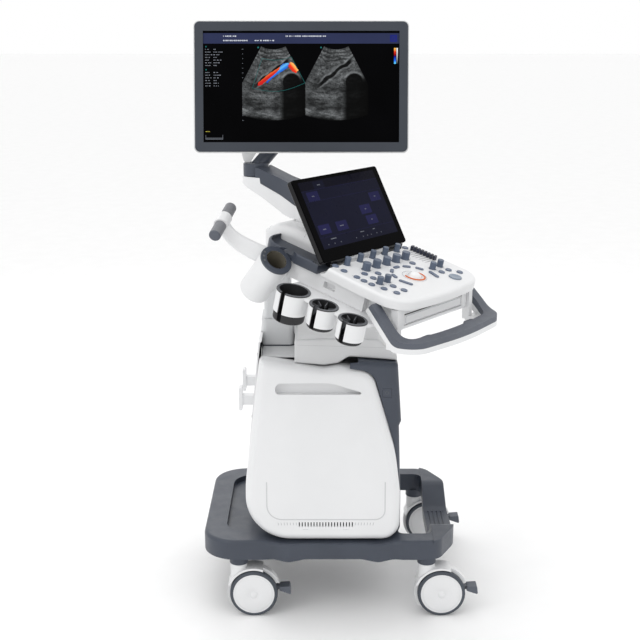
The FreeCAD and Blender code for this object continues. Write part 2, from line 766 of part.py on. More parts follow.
def make_column():
    """Outer stage fixed in the base and inner stage that rises out of it."""
    column_y = size("column_y")
    outer = new_body("column_outer")
    sketch = new_sketch(outer, "XY_Plane", "outer_plan")
    draw_rectangle(sketch, "outer_width", "outer_depth")
    add_pad(outer, sketch, "sizes.outer_top - sizes.outer_bottom", "outer_tube")
    add_fillet(outer, 13, "outer_corners", upright)
    bore = new_sketch(outer, "XY_Plane", "outer_bore")
    half_x = size("inner_width") / 2 + 0.4
    half_y = size("inner_depth") / 2 + 0.4
    draw_outline(bore, rounded_rectangle(half_x, half_y, 10.4))
    add_pocket(outer, bore, "sizes.outer_top", "bore", reverse=True)
    keep(outer, "column_outer", Placement(Vector(0, column_y, size("outer_bottom")), Rotation()))
    inner = new_body("column_inner")
    plan = new_sketch(inner, "XY_Plane", "inner_plan")
    draw_rectangle(plan, "inner_width", "inner_depth")
    add_pad(inner, plan, "sizes.inner_top - sizes.inner_bottom", "inner_tube")
    add_fillet(inner, 10, "inner_corners", upright)
    hollow = new_sketch(inner, "XY_Plane", "inner_hollow")
    wall = size("column_wall")
    draw_outline(hollow, rounded_rectangle(half_x - 0.4 - wall, half_y - 0.4 - wall, 5))
    add_pocket(inner, hollow, "sizes.inner_top - sizes.inner_bottom - 12", "inner_bore", reverse=True)
    keep(inner, "column_inner", Placement(Vector(0, column_y, size("inner_bottom")), Rotation()))


# ---- console --------------------------------------------------------------------------------------------


def on_panel(x, forward, z=0.0):
    """Point in the panel's frame, given to the right and forward of the trackball."""
    return Vector(x, -forward, z)


def to_console(shape):
    """Move a shape drawn in the panel's frame into the console's frame."""
    moved = shape.copy()
    moved.Placement = console_place.inverse() * panel_place * moved.Placement
    return moved


def to_panel(shape):
    moved = shape.copy()
    moved.Placement = panel_place.inverse() * console_place * moved.Placement
    return moved


def make_turntable():
    """Bearing plate that carries the console on top of the lifting column."""
    body = new_body("turntable")
    sketch = new_sketch(body, "XY_Plane", "plate_plan")
    draw_circle(sketch, "sizes.turntable_radius")
    add_pad(body, sketch, "sizes.turntable_height", "plate")
    add_fillet(body, 2, "plate_rim", at_level("z", 0))
    base = Placement(Vector(0, size("console_pivot_y"), size("inner_top") + 0.3), Rotation())
    return keep(body, "turntable", base)


def hinge_channel():
    """Room for the touch screen's foot, in the console's frame."""
    return Part.makeCylinder(23, 340, Vector(-170, -size("touch_foot_reach") + 6, size("touch_foot_height") - 1),
                             Vector(1, 0, 0))


def tub_plan(half, rear, front):
    return [(-half, front, 0), (half, front, 0), (half, rear, 46), (-half, rear, 46)]


def make_console_lower_shell():
    """White under-body: a sloping tub, the seat over the turntable and the keyboard drawer's housing."""
    tub = to_console(prism(tub_plan(158, 330, 20), "xy", -66, -24.6))
    seat_low = size("inner_top") + size("turntable_height") + 0.3
    seat = prism(rounded_rectangle(96, 66, 40), "xy", 866, 884)
    seat.translate(Vector(0, -16, 0))
    neck = prism(rounded_rectangle(72, 66, 40), "xy", seat_low, 900)
    neck.translate(Vector(0, -22, 0))
    neck = neck.cut(block(-80, 80, -30, 60, 884, 910))
    housing = prism([(-455, 770, 5), (-455, 824, 0), (-262, 872, 0), (-262, 770, 26)], "yz", -141, 141)
    shape = tub.multiFuse([seat, neck, housing])
    shape = solid_of(shape)
    half = size("drawer_half_width") + 1
    cavity = block(-half, half, -470, -276, 779, 805)
    recess = to_console(block(-170, -146, 103, 136, -52, -37))
    shape = shape.cut(cavity).cut(recess).cut(hinge_channel())
    hollow = to_console(prism(tub_plan(150, 322, 150), "xy", -60, -24))
    shape = shape.cut(hollow.cut(block(-200, 200, -250, -60, 0, 890).common(neck)))
    well = to_console(Part.makeSphere(size("ball_radius") + 1.5, Vector(0, 0, -8)))
    return feature("console_lower_shell", solid_of(shape.cut(well)), console_place)


def dome_profile():
    """Side view of the rear dome, in (y, z)."""
    return [(-12, 942, 30), (-62, 966, 60), (-128, 957, 90), (-212, 930, 26),
            (-243, 896, 0), (-243, 850, 0), (-12, 850, 0)]


def make_console_rear_cover():
    """White dome over the back of the console, under the monitor arm's post."""
    half = 100
    dome = prism(dome_profile(), "yz", -half, half)

    def upper(edge):
        return abs(abs(edge.CenterOfMass.x) - half) < 0.01 and edge.BoundBox.ZMax > 900
    dome = soften(dome, 24, upper)
    rear_corner = prism([(-half - 1, -280, 0), (half + 1, -280, 0), (half + 1, -12, 44),
                         (-half - 1, -12, 44)], "xy", 800, 1000)
    dome = dome.common(rear_corner)
    dome = dome.cut(sub_part("console_lower_shell").Shape.copy().transformGeometry(
        console_place.inverse().toMatrix()))
    dome = dome.cut(block(-200, 200, -300, 100, 800, 884.2))
    slope = to_console(block(-300, 300, -100, 332, -200, -24.4))
    dome = dome.cut(slope).cut(hinge_channel())
    return feature("console_rear_cover", solid_of(dome), console_place)


def make_side_tray():
    """Dark tray round the dome: a raised rim and a lower floor on each side."""
    plan = [(-171, 152.6, 4), (171, 152.6, 4), (171, 332, 52), (-171, 332, 52)]
    tray = prism(plan, "xy", -24.2, 0)
    tray = soften(tray, 5, lambda edge: edge.BoundBox.ZMin > -1 and edge.CenterOfMass.y > 155)
    floor = prism([(-165, 158, 6), (165, 158, 6), (165, 325, 46), (-165, 325, 46)], "xy", -13, 20)
    floor = soften(floor, 6, at_level("z", -13))
    tray = to_console(tray.cut(floor))
    collar = block(-100.4, 100.4, -260, 80, 700, 1100)
    tray = tray.cut(collar).cut(hinge_channel())
    sides = sorted(tray.Solids, key=lambda solid: solid.Volume)[-2:]
    grille = [Part.makeCylinder(1.2, 40, Vector(side * (126 + 6 * i), -205 - 6 * j, 890))
              for side in (-1, 1) for i in range(5) for j in range(4)]
    shape = Part.makeCompound([solid.cut(Part.makeCompound(grille)).Solids[0] for solid in sides])
    return feature("side_tray", shape, console_place)


SLIM_KNOBS = [(-104 + 50 * i, -121) for i in range(5)]
LARGE_KNOBS = [(-84, -80), (-44, -80), (-4, -80), (35, -80), (74, -80)]
SMALL_KNOBS = [(87, -8), (120, -9), (-123, -12), (-95, -11)]
BUTTONS = [(-140, -127), (-145, -98), (-111, -64), (-76, -51), (-146, -60), (-112, -38), (-148, -38),
           (-148, -16), (-140, 13), (-106, 14), (-131, 42), (-101, 41), (137, -124), (66, -52),
           (90, 17), (120, 17), (136, 39)]
RING_KEYS = [(2, -54, 20), (31, -45, 20), (52, -22, 20), (56, 17, 34), (-29, -45, 20), (-51, -22, 20),
             (-57, 15, 34)]
SLIDERS = [(144, -108 + 9.6 * i) for i in range(8)]


def knob_at(x, forward, radius, tall):
    """Turned knob on a wider skirt, its foot sunk in the panel."""
    stem = Part.makeCylinder(radius, tall + 2.4, on_panel(x, forward, -2.4))
    stem = soften(stem, 1.2, at_level("z", tall))
    skirt = Part.makeCone(radius + 1.6, radius, 4.6, on_panel(x, forward, -2.4))
    return stem.fuse(skirt).removeSplitter()


def button_at(x, forward, radius):
    body = Part.makeCylinder(radius, 5.2, on_panel(x, forward, -2.4))
    body = soften(body, 1.0, at_level("z", 2.8))
    dish = Part.makeSphere(3 * radius, on_panel(x, forward, 2.8 + 3 * radius * math.cos(math.asin(0.25)) + 0.1))
    return body.cut(dish)


def ring_key_at(x, forward, length, grow=0.0, low=-2.4, high=2.6):
    """Key laid along the circle round the trackball."""
    half_long = length / 2 + grow
    half_wide = 4.2 + grow
    shape = prism(rounded_rectangle(half_long, half_wide, half_wide - 0.2), "xy", low, high)
    turn = math.degrees(math.atan2(-forward, x)) + 90
    shape.Placement = Placement(on_panel(x, forward), Rotation(Vector(0, 0, 1), turn)) * shape.Placement
    return shape


def slider_at(x, forward):
    cap = prism(rounded_rectangle(5.5, 2.9, 1.4), "xy", 0.6, 11)
    cap.translate(on_panel(x, forward))
    blade = block(x - 3, x + 3, -forward - 0.8, -forward + 0.8, -2.5, 0.8)
    return cap.fuse(blade).removeSplitter()


def panel_plan():
    rear = size("panel_rear")
    front = -size("panel_front")
    narrow = size("panel_rear_half_width")
    wide = size("panel_half_width")
    corner = size("panel_corner")
    return [(-narrow, rear, 10), (-wide, 40, 300), (-wide, front + 12, corner), (0, front - 3, 900),
            (wide, front + 12, corner), (wide, 40, 300), (narrow, rear, 10)]


def control_wells():
    """Pockets in the panel that the controls stand and travel in."""
    wells = [Part.makeCylinder(size("slim_knob_radius") + 2.0, 10, on_panel(x, f, -4.2)) for x, f in SLIM_KNOBS]
    wells += [Part.makeCylinder(size("large_knob_radius") + 2.0, 10, on_panel(x, f, -4.2)) for x, f in LARGE_KNOBS]
    wells += [Part.makeCylinder(size("small_knob_radius") + 2.0, 10, on_panel(x, f, -4.2)) for x, f in SMALL_KNOBS]
    wells += [Part.makeCylinder(8.2, 10, on_panel(x, f, -4.2)) for x, f in BUTTONS]
    wells += [ring_key_at(x, f, length, 0.45, -4.2, 5) for x, f, length in RING_KEYS]
    wells.append(Part.makeCylinder(size("freeze_radius") + 0.5, 10, on_panel(96, 52, -4.2)))
    wells += [block(104, 150, -f - 1.2, -f + 1.2, -4.2, 5) for x, f in SLIDERS]
    wells.append(Part.makeSphere(size("ball_radius") + 0.4, Vector(0, 0, -8)))
    return Part.makeCompound(wells)


def make_control_panel():
    """White control surface with a deep soft-edged skirt and a pocket under every control."""
    thick = size("panel_thick")
    slab = prism(panel_plan(), "xy", -thick, 0)
    slab = soften(slab, 7.0, at_level("z", 0))
    hollow = prism([(-158, 140, 10), (-160, 30, 200), (-160, -76, 50), (160, -76, 50), (160, 30, 200),
                    (158, 140, 10)], "xy", -thick - 1, -thick + 2)
    slab = slab.cut(hollow)
    for well in control_wells().Solids:
        slab = slab.cut(well)
    slab = slab.cut(to_panel(hinge_channel()))
    return feature("control_panel", solid_of(slab), panel_place)


def make_controls():
    """Knobs, buttons, keys, sliders and the trackball, grouped by the way they travel."""
    slim = [knob_at(x, f, size("slim_knob_radius"), size("slim_knob_tall")) for x, f in SLIM_KNOBS]
    large = [knob_at(x, f, size("large_knob_radius"), size("large_knob_tall")) for x, f in LARGE_KNOBS]
    small = [knob_at(x, f, size("small_knob_radius"), size("small_knob_tall")) for x, f in SMALL_KNOBS]
    feature("knobs_rear_row", Part.makeCompound(slim), panel_place)
    feature("knobs_front_row", Part.makeCompound(large), panel_place)
    feature("knobs_small", Part.makeCompound(small), panel_place)
    feature("function_buttons", Part.makeCompound([button_at(x, f, 7.7) for x, f in BUTTONS]), panel_place)
    feature("ring_keys", Part.makeCompound([ring_key_at(x, f, length) for x, f, length in RING_KEYS]),
            panel_place)
    feature("tgc_sliders", Part.makeCompound([slider_at(x, f) for x, f in SLIDERS]), panel_place)
    feature("freeze_button", button_at(96, 52, size("freeze_radius")), panel_place)
    ball = doc.addObject("Part::Sphere", "trackball")
    ball.setExpression("Radius", "sizes.ball_radius")
    keep(ball, "trackball", panel_place * Placement(Vector(0, 0, -8), Rotation()))


def make_keyboard():
    """Slide-out drawer with a full keyboard on its floor."""
    half = size("drawer_half_width")
    tray = block(-half, half, -455.5, -455.5 + size("drawer_length"), 780, 803)
    tray = soften(tray, 3, lambda edge: at_level("y", -455.5)(edge))
    tray = tray.cut(block(-half + 3, half - 3, -449, -283, 784, 810))
    feature("keyboard_drawer", tray, console_place)
    keys = []
    pitch = size("key_pitch")
    side = size("key_side")
    for row in range(5):
        for column in range(14):
            x = (column - 6.5) * pitch
            y = -440 + row * pitch
            if row == 0 and 3 < column < 10:
                continue
            keys.append(block(x - side / 2, x + side / 2, y - side / 2, y + side / 2, 787, 792))
    keys.append(block(-2.7 * pitch, 2.7 * pitch, -440 - side / 2, -440 + side / 2, 787, 792))
    feature("keyboard_keys", Part.makeCompound(keys), console_place)


# ---- handle ---------------------------------------------------------------------------------------------


def handle_plan():
    """Plan of the U-shaped handle: outer area and inner area."""
    half = size("handle_half_width")
    front = -size("handle_front")
    band = size("handle_band")
    outer = [(-half + 14, -396, 0), (-half - 1, front + 17, 62), (0, front - 2, 800),
             (half + 1, front + 17, 62), (half - 14, -396, 0)]
    inner = [(-half + 14 + band, -390, 0), (-half - 1 + band, front + 17 + band, 36),
             (0, front - 2 + band, 800), (half + 1 - band, front + 17 + band, 36),
             (half - 14 - band, -390, 0)]
    return outer, inner


def handle_layer(near, far):
    """Side view of one layer of the handle, between two depths below its top line, in (y, z)."""
    top = size("handle_top")
    drop = (-0.692, -0.722)
    run = (-0.997, -0.075)
    start = (-416, 836)
    bend = (-486, top + 3)
    end = (-600, top - 6)

    def offset(point, depth, first, second):
        normal = (-first[1] - second[1], first[0] + second[0])
        scale = depth / (1 + first[0] * second[0] + first[1] * second[1])
        return (point[0] + normal[0] * scale, point[1] + normal[1] * scale)
    upper = [(*offset(start, near, drop, drop), 0), (*offset(bend, near, drop, run), 46 - near),
             (*offset(end, near, run, run), 0)]
    lower = [(*offset(start, far, drop, drop), 0), (*offset(bend, far, drop, run), max(46 - far, 5)),
             (*offset(end, far, run, run), 0)]
    return upper + lower[::-1]


def make_handle():
    """Grey-topped U handle, its white frame with the side struts, and the two release levers."""
    outer, inner = handle_plan()
    ring = prism(outer, "xy", 700, 900).cut(prism(inner, "xy", 699, 901))
    grip_thick = size("grip_thick")
    grip = ring.common(prism(handle_layer(0, grip_thick), "yz", -300, 300))
    frame = ring.common(prism(handle_layer(grip_thick + 0.05, grip_thick + 12), "yz", -300, 300))
    panel = to_console(prism(panel_plan(), "xy", -size("panel_thick") - 0.4, 40))
    grip = solid_of(grip.cut(panel))
    frame = solid_of(frame.cut(panel))
    struts = []
    for side in (-1, 1):
        post = block(0, 15, -462, -444, 742, 822)
        post.translate(Vector(142 if side > 0 else -157, 0, 0))
        foot = block(0, 44, -500, -452, 738, 750)
        foot.translate(Vector(142 if side > 0 else -186, 0, 0))
        struts += [post, foot]
    struts_shape = struts[0].multiFuse(struts[1:])
    frame = solid_of(frame.fuse(struts_shape.cut(grip)).cut(sub_part_in_console("console_lower_shell")))
    pockets = []
    levers = {}
    for name, side in (("lever_left", -1), ("lever_right", 1)):
        centre = side * 90
        pockets.append(block(centre - 21, centre + 21, -522, -486, 739.5, 757.5))
        paddle = prism([(centre - 30, -505, 2), (centre + 30, -505, 2), (centre + 14, -489, 6),
                        (centre - 14, -489, 6)], "xy", 742, 755)
        paddle = paddle.common(prism(inner_inset(), "xy", 700, 800))
        tongue = block(centre - 20, centre + 20, -520, -492, 744, 754)
        levers[name] = solid_of(paddle.fuse(tongue))
    cutter = Part.makeCompound(pockets)
    grip = solid_of(grip.cut(cutter))
    frame = solid_of(frame.cut(cutter))
    feature("handle_grip", grip, console_place)
    feature("handle_frame", frame, console_place)
    for name, lever in levers.items():
        feature(name, lever, console_place)


def inner_inset():
    """The handle's inner area, drawn in by the levers' clearance."""
    half = size("handle_half_width") - size("handle_band") - 1
    front = -size("handle_front") + size("handle_band")
    return [(-half, -390, 0), (-half, front + 17.8, 34), (0, front - 1.2, 800), (half, front + 17.8, 34),
            (half, -390, 0)]


def sub_part_in_console(label):
    """Copy of a sub-part's shape in the console's own frame."""
    shape = sub_part(label).Shape.copy()
    shape.Placement = console_place.inverse() * shape.Placement
    return shape


# ---- probe holders, gel warmer and cable hanger ---------------------------------------------------------


def cup_places():
    """Each cup's centre on the panel frame, bore radius, shell height and full height."""
    return [(-215, 174.6, size("cup_one_radius"), 49, size("cup_one_tall")),
            (-215, 84.9, size("cup_two_radius"), 44, size("cup_two_tall")),
            (-215, 1.5, size("cup_three_radius"), 42, size("cup_three_tall"))]


CUP_RIM_DEPTH = -64.4


def make_probe_holders():
    """White rail with three shells, and the three slotted rubber liners that hang in them."""
    wall = size("cup_wall")
    liner_wall = size("liner_wall")
    rail = prism([(-226, 206, 30), (-130, 206, 12), (-130, -34, 12), (-214, -34, 26)], "xy",
                 CUP_RIM_DEPTH - 9.6, CUP_RIM_DEPTH - 2)
    shells, holes, slots, liners = [], [], [], []
    for x, y, rim, shell_tall, full_tall in cup_places():
        bore = rim - liner_wall - wall + 0.6
        top = CUP_RIM_DEPTH
        shells.append(Part.makeCylinder(rim - 0.8, shell_tall, Vector(x, y, top - 2 - shell_tall)))
        holes.append(Part.makeCylinder(bore + liner_wall - 0.4, 200, Vector(x, y, top - 150)))
        half_slot = size("cup_slot") / 2
        slots.append(block(x - 60, x, y - half_slot, y + half_slot, top - 120, top + 20))
        liner = Part.makeCylinder(bore + liner_wall - 0.6, full_tall, Vector(x, y, top - full_tall))
        liner = soften(liner, 6.5, at_level("z", top - full_tall))
        flange = soften(Part.makeCylinder(rim, 2.6, Vector(x, y, top - 1.9)), 1.1, at_level("z", top + 0.7))
        liner = liner.fuse(flange)
        liner = liner.cut(Part.makeCylinder(bore, 200, Vector(x, y, top - full_tall + 3)))
        liner = liner.cut(block(x - 60, x, y - half_slot + 0.8, y + half_slot - 0.8,
                                top - full_tall + 3, top + 20))
        liners.append(solid_of(liner))
    rail = rail.multiFuse(shells)
    rail = rail.cut(Part.makeCompound(holes)).cut(Part.makeCompound(slots))
    rail = rail.cut(to_panel(sub_part_in_console("console_lower_shell")))
    feature("probe_rail", solid_of(rail), panel_place)
    feature("probe_liners", Part.makeCompound(liners), panel_place)


def warmer_frame():
    """Frame of the gel warmer: origin at the mouth, +Z out of it."""
    out = Vector(-0.175, -0.685, 0.686).normalize()
    return Placement(Vector(-200, -152, 904), Rotation(Vector(), Vector(1, 0, 0), out, "ZXY"))


def make_gel_warmer():
    """Heated bottle holder: a white can with a flat flank and a dark rim with its steel cup."""
    radius = size("warmer_radius")
    length = size("warmer_length")
    bore = size("warmer_bore_radius")
    depth = size("warmer_bore_depth")
    place = console_place * warmer_frame()
    can = Part.makeCylinder(radius, length - 5, Vector(0, 0, -length))
    can = soften(can, 5, at_level("z", -length))
    can = can.cut(Part.makeCylinder(bore + 4.4, depth + 4, Vector(0, 0, -depth - 4.6)))
    arm_start = console_place.inverse() * place * Vector(0, 0, -58)
    arm = tube_between(arm_start, Vector(-150, arm_start.y - 6, arm_start.z + 22), 15)
    arm.Placement = (console_place.inverse() * place).inverse() * arm.Placement
    can = can.fuse(arm.cut(Part.makeCylinder(radius - 1, length - 6, Vector(0, 0, -length + 1))))
    tub = sub_part_in_console("console_lower_shell")
    tub.Placement = warmer_frame().inverse() * tub.Placement
    envelope = Part.makeCylinder(radius + 1.5, length + 40, Vector(0, 0, -length))
    envelope.Placement = warmer_frame()
    sides = sorted(sub_part_in_console("side_tray").cut(envelope).Solids, key=lambda solid: solid.Volume)[-2:]
    tray_item = sub_part("side_tray")
    tray_item.Shape = Part.makeCompound(sides)
    tray_item.Placement = console_place
    tray = sub_part_in_console("side_tray")
    tray.Placement = warmer_frame().inverse() * tray.Placement
    feature("gel_warmer_body", solid_of(can.cut(tub).cut(tray)), place)
    rim = Part.makeCylinder(radius + 0.6, 5, Vector(0, 0, -5))
    rim = soften(rim, 2.0, at_level("z", 0))
    cup = Part.makeCylinder(bore + 4, depth + 4, Vector(0, 0, -depth - 4.4))
    rim = rim.fuse(cup)
    rim = rim.cut(Part.makeCylinder(bore, depth + 10, Vector(0, 0, -depth)))
    feature("gel_warmer_rim", solid_of(rim), place)


def make_hanger():
    """Cable hanger: a curved arm with a clamp, and a bar with two grey grips."""
    centre = Vector(-225, -10, 981)
    along = Vector(-0.853, -0.359, -0.374).normalize()
    stations = [(Vector(-148, -92, 893), 42), (Vector(-176, -80, 906), 42), (Vector(-192, -52, 921), 40),
                (Vector(-206, -30, 938), 36), (Vector(-218, -16, 958), 32), (centre, 28)]
    wires = []
    for i, (point, tall) in enumerate(stations):
        before = stations[max(i - 1, 0)][0]
        after = stations[min(i + 1, len(stations) - 1)][0]
        ahead = (after - before).normalize()
        wire = rounded_wire(rounded_rectangle(12, tall / 2, 8))
        side = ahead.cross(Vector(0.55, 0.83, 0)).normalize()
        wire.Placement = Placement(point, Rotation(Vector(), side, ahead, "ZYX"))
        wires.append(wire)
    arm = Part.makeLoft(wires, True, False)
    clamp = tube_between(centre - along * 18, centre + along * 18, size("hanger_bar_radius") + 3)
    arm = arm.fuse(clamp)
    arm = arm.cut(tube_between(centre - along * 30, centre + along * 30, 8.0))
    for label in ("console_lower_shell", "side_tray", "gel_warmer_body", "gel_warmer_rim"):
        arm = arm.cut(sub_part_in_console(label))
    half = size("hanger_bar_length") / 2
    rod = tube_between(centre - along * (half - 4), centre + along * (half - 4), 7.9)
    grips = []
    for side in (-1, 1):
        end = centre + along * (side * half)
        start = centre + along * (side * 18.3)
        grip = tube_between(start, end, size("hanger_bar_radius"))
        grips.append(soften(grip, 5.0, lambda edge, end=end: edge.CenterOfMass.distanceToPoint(end) < 0.5))
    shape = solid_of(grips[0].multiFuse([rod, grips[1]]))
    feature("hanger_arm", solid_of(arm.cut(shape)), console_place)
    feature("hanger_grips", shape, console_place)


# ---- touch screen ---------------------------------------------------------------------------------------


def make_touch_screen():
    """Tilting touch screen: housing with hinge knuckles, glass, and the bracket it turns on."""
    thick = size("touch_thick")
    wide = size("touch_width")
    tall = size("touch_height")
    housing = prism([(x, z + tall / 2, 7) for x, z, r in rounded_rectangle(wide / 2, tall / 2, 7)],
                    "xz", 0, thick - 3)
    housing = soften(housing, 5, at_level("y", thick - 3))
    hinge = Vector(0, 7, -1)
    knuckles = [tube_between(Vector(x, hinge.y, hinge.z), Vector(x + 60, hinge.y, hinge.z), 8.5)
                for x in (-140, 80)]
    housing = housing.multiFuse(knuckles)
    slot = block(-79, 79, hinge.y - 9.5, hinge.y + 12, hinge.z - 10, hinge.z + 9.5)
    bore = tube_between(Vector(-136, hinge.y, hinge.z), Vector(136, hinge.y, hinge.z), 4.07)
    housing = housing.cut(slot).cut(bore).cut(block(-200, 200, -20, 0, 0.2, 300))
    feature("touch_housing", solid_of(housing), touch_place)
    glass = new_body("touch_glass")
    sketch = new_sketch(glass, "XZ_Plane", "glass_outline")
    draw_outline(sketch, [(x, z + tall / 2, 6.5) for x, z, r in rounded_rectangle(
        wide / 2 - 0.5, tall / 2 - 0.5, 6.5)])
    add_pad(glass, sketch, "3", "glass_sheet")
    keep(glass, "touch_glass", touch_place)
    shaft = tube_between(Vector(-134, hinge.y, hinge.z), Vector(134, hinge.y, hinge.z), 4.0)
    bar = tube_between(Vector(-76, hinge.y, hinge.z), Vector(76, hinge.y, hinge.z), 6.5)
    bracket = shaft.fuse(bar)
    bracket.Placement = console_place.inverse() * touch_place * bracket.Placement
    centre = bracket.BoundBox.Center
    foot = block(-70, 70, centre.y + 2, centre.y + 34, centre.z - 30, centre.z)
    bracket = bracket.fuse(foot)
    for label in ("console_lower_shell", "console_rear_cover", "control_panel", "side_tray"):
        bracket = bracket.cut(sub_part_in_console(label))
    feature("touch_hinge_bracket", solid_of(bracket), console_place)


# ---- monitor arm ----------------------------------------------------------------------------------------

ARM_TURN = 54.5
POST_REACH = 92.0


def arm_frame():
    """Frame of the arm: origin on the post's axis at floor level, +X towards the hub."""
    foot = console_place * Vector(0, -POST_REACH, 0)
    return Placement(foot, Rotation(Vector(0, 0, 1), ARM_TURN))


def arm_plan(shrink=0.0):
    """Plan of the arm: a waist between the round post and the round hub end."""
    post = size("arm_post_radius") - shrink
    hub = size("hub_radius") + 2 - shrink
    reach = size("arm_length")
    half = size("arm_width") / 2 - shrink
    beam = prism([(0, -post, 0), (70, -half, 90), (reach, -hub, 0), (reach, hub, 0), (70, half, 90),
                  (0, post, 0)], "xy", 900, 1150)
    ends = [Part.makeCylinder(post, 250, Vector(0, 0, 900)), Part.makeCylinder(hub, 250, Vector(reach, 0, 900))]
    return beam.multiFuse(ends).removeSplitter()


def make_arm():
    """Rigid swan-neck arm: white lower shell with a round post, and a dark top cover."""
    reach = size("arm_length")
    lower = [(-40, 950, 0), (-40, 998, 0), (18, 998, 50), (129, 1044, 0), (131, 1057.6, 2), (204, 1057.6, 0),
             (204, 1048, 10), (128, 1012, 90), (62, 974, 26), (38.2, 968, 2), (38.2, 950, 0)]
    shell = arm_plan().common(prism(lower, "xz", -100, 100))
    below = block(-60, 60, -60, 60, 900, 967.5)
    below = below.cut(Part.makeCylinder(size("arm_post_radius"), 100, Vector(0, 0, 957)))
    shell = solid_of(shell.cut(below))
    foot = Part.makeCylinder(24, 16, Vector(0, 0, 944))
    shell = shell.fuse(foot)
    shell = shell.cut(Part.makeCylinder(12.06, 40, Vector(reach, 0, 1040)))
    feature("arm_shell", solid_of(shell), arm_frame())
    upper = [(-40, 998.5, 0), (-40, 1020, 30), (18, 1046, 70), (144, 1083, 0), (144, 1058, 0),
             (130.2, 1045, 0), (18, 998.5, 50)]
    cover = arm_plan().common(prism(upper, "xz", -100, 100)).cut(shell)
    cover = soften(solid_of(cover), 7, lambda edge: edge.BoundBox.ZMin > 1001 and
                   edge.BoundBox.YLength < 60 and edge.BoundBox.XLength > 8)
    cover = cover.cut(Part.makeCylinder(size("hub_radius") + 1, 100, Vector(reach, 0, 1040)))
    feature("arm_cover", cover, arm_frame())


def cut_post_seat():
    """Socket in the dome for the arm's foot, and a flat seat under the post."""
    dome = sub_part("console_rear_cover")
    seat = Part.makeCylinder(size("arm_post_radius") + 3, 60, Vector(0, -POST_REACH, 956.7))
    socket = Part.makeCylinder(24.06, 30, Vector(0, -POST_REACH, 943.7))
    shape = sub_part_in_console("console_rear_cover").cut(seat).cut(socket)
    plinth = Part.makeCylinder(size("arm_post_radius") + 2, 40, Vector(0, -POST_REACH, 916.7))
    plinth = plinth.cut(socket)
    blocker = to_console(block(-300, 300, -100, 332, -200, -24.4))
    shape = solid_of(shape.fuse(plinth.cut(blocker)))
    dome.Shape = shape
    dome.Placement = console_place


def make_monitor_link():
    """Dark hub, neck and upright that carry the monitor's tilt hinge."""
    hub_centre = arm_frame() * Vector(size("arm_length"), 0, 0)
    low = size("hub_bottom")
    high = size("hub_top")
    hub = Part.makeCylinder(size("hub_radius"), high - low, Vector(hub_centre.x, hub_centre.y, low))
    hub = soften(hub, 3, lambda edge: edge.BoundBox.ZLength < 0.01)
    pin = Part.makeCylinder(12, 19, Vector(hub_centre.x, hub_centre.y, low - 17))
    hinge = monitor_place * Vector(0, 68, 0)
    start = Vector(hub_centre.x + 2, hub_centre.y - 2, high - 12)
    elbow = Vector(hinge.x + 12, hinge.y, 1204)
    neck = [tube_between(start, elbow, 18), Part.makeSphere(18, elbow)]
    upright = tube_between(elbow, Vector(elbow.x, elbow.y, hinge.z), 18)
    cap = Part.makeSphere(18, Vector(elbow.x, elbow.y, hinge.z))
    barrel = tube_between(hinge - Vector(0, 20, 0), hinge + Vector(0, 20, 0), 13)
    shaft = tube_between(hinge - Vector(0, 35, 0), hinge + Vector(0, 35, 0), 6)
    shape = hub.multiFuse([pin, *neck, upright, cap, barrel, shaft])
    return feature("monitor_link", solid_of(shape))


# ---- monitor --------------------------------------------------------------------------------------------


def make_monitor():
    """Screen panel, dark bezel and pale rear shell with its hinge ears."""
    wide = size("monitor_width")
    tall = size("monitor_height")
    corner = size("monitor_corner")
    bezel = new_body("monitor_bezel")
    front = new_sketch(bezel, "XZ_Plane", "bezel_outline")
    draw_outline(front, rounded_rectangle(wide / 2, tall / 2, corner))
    add_pad(bezel, front, "sizes.bezel_thick", "bezel_slab", reverse=True)
    add_fillet(bezel, 1.6, "bezel_edge", at_level("y", 0))
    window = new_sketch(bezel, "XZ_Plane", "window")
    draw_rectangle(window, "screen_width", "screen_height")
    add_pocket(bezel, window, "sizes.bezel_thick", "window_cut")
    recess = new_sketch(bezel, "XZ_Plane", "panel_recess", -3.0)
    draw_outline(recess, rounded_rectangle(wide / 2 - 6, tall / 2 - 6, corner - 6))
    add_pocket(bezel, recess, "sizes.bezel_thick", "recess_cut")
    keep(bezel, "monitor_bezel", monitor_place)
    screen = new_body("monitor_screen")
    outline = new_sketch(screen, "XZ_Plane", "panel_outline")
    draw_outline(outline, rounded_rectangle(wide / 2 - 8, tall / 2 - 8, 3))
    add_pad(screen, outline, "6", "panel_slab", reverse=True)
    keep(screen, "monitor_screen", monitor_place * Placement(Vector(0, 3.2, 0), Rotation()))
    rear = prism(rounded_rectangle(wide / 2 + 3, tall / 2 + 3, corner + 2), "xz", 5, 30)
    rear = soften(rear, 13, at_level("y", 30))
    rear = soften(rear, 1.5, at_level("y", 5))
    back = prism(rounded_rectangle(150, 96, 24), "xz", 22, 52)
    back = soften(back, 12, at_level("y", 52))
    shell = rear.fuse(back)
    shell = shell.cut(prism(rounded_rectangle(wide / 2 + 0.3, tall / 2 + 0.3, corner), "xz", 0, 16.2))
    shell = shell.cut(prism(rounded_rectangle(wide / 2 - 16, tall / 2 - 16, 8), "xz", 10, 26))
    for side in (-1, 1):
        ear = prism([(40, -22, 0), (84, -14, 12), (84, 14, 12), (40, 22, 0)], "yz", 21 * side - 6 + 6 * side,
                    21 * side + 6 + 6 * side)
        shell = shell.fuse(ear)
    bore = tube_between(Vector(-60, 68, 0), Vector(60, 68, 0), 6.06)
    slots = [block(x - 1.5, x + 1.5, 46, 60, 60, 84) for x in range(-110, 111, 10)]
    shell = shell.cut(bore).cut(Part.makeCompound(slots))
    feature("monitor_rear_shell", solid_of(shell), monitor_place)


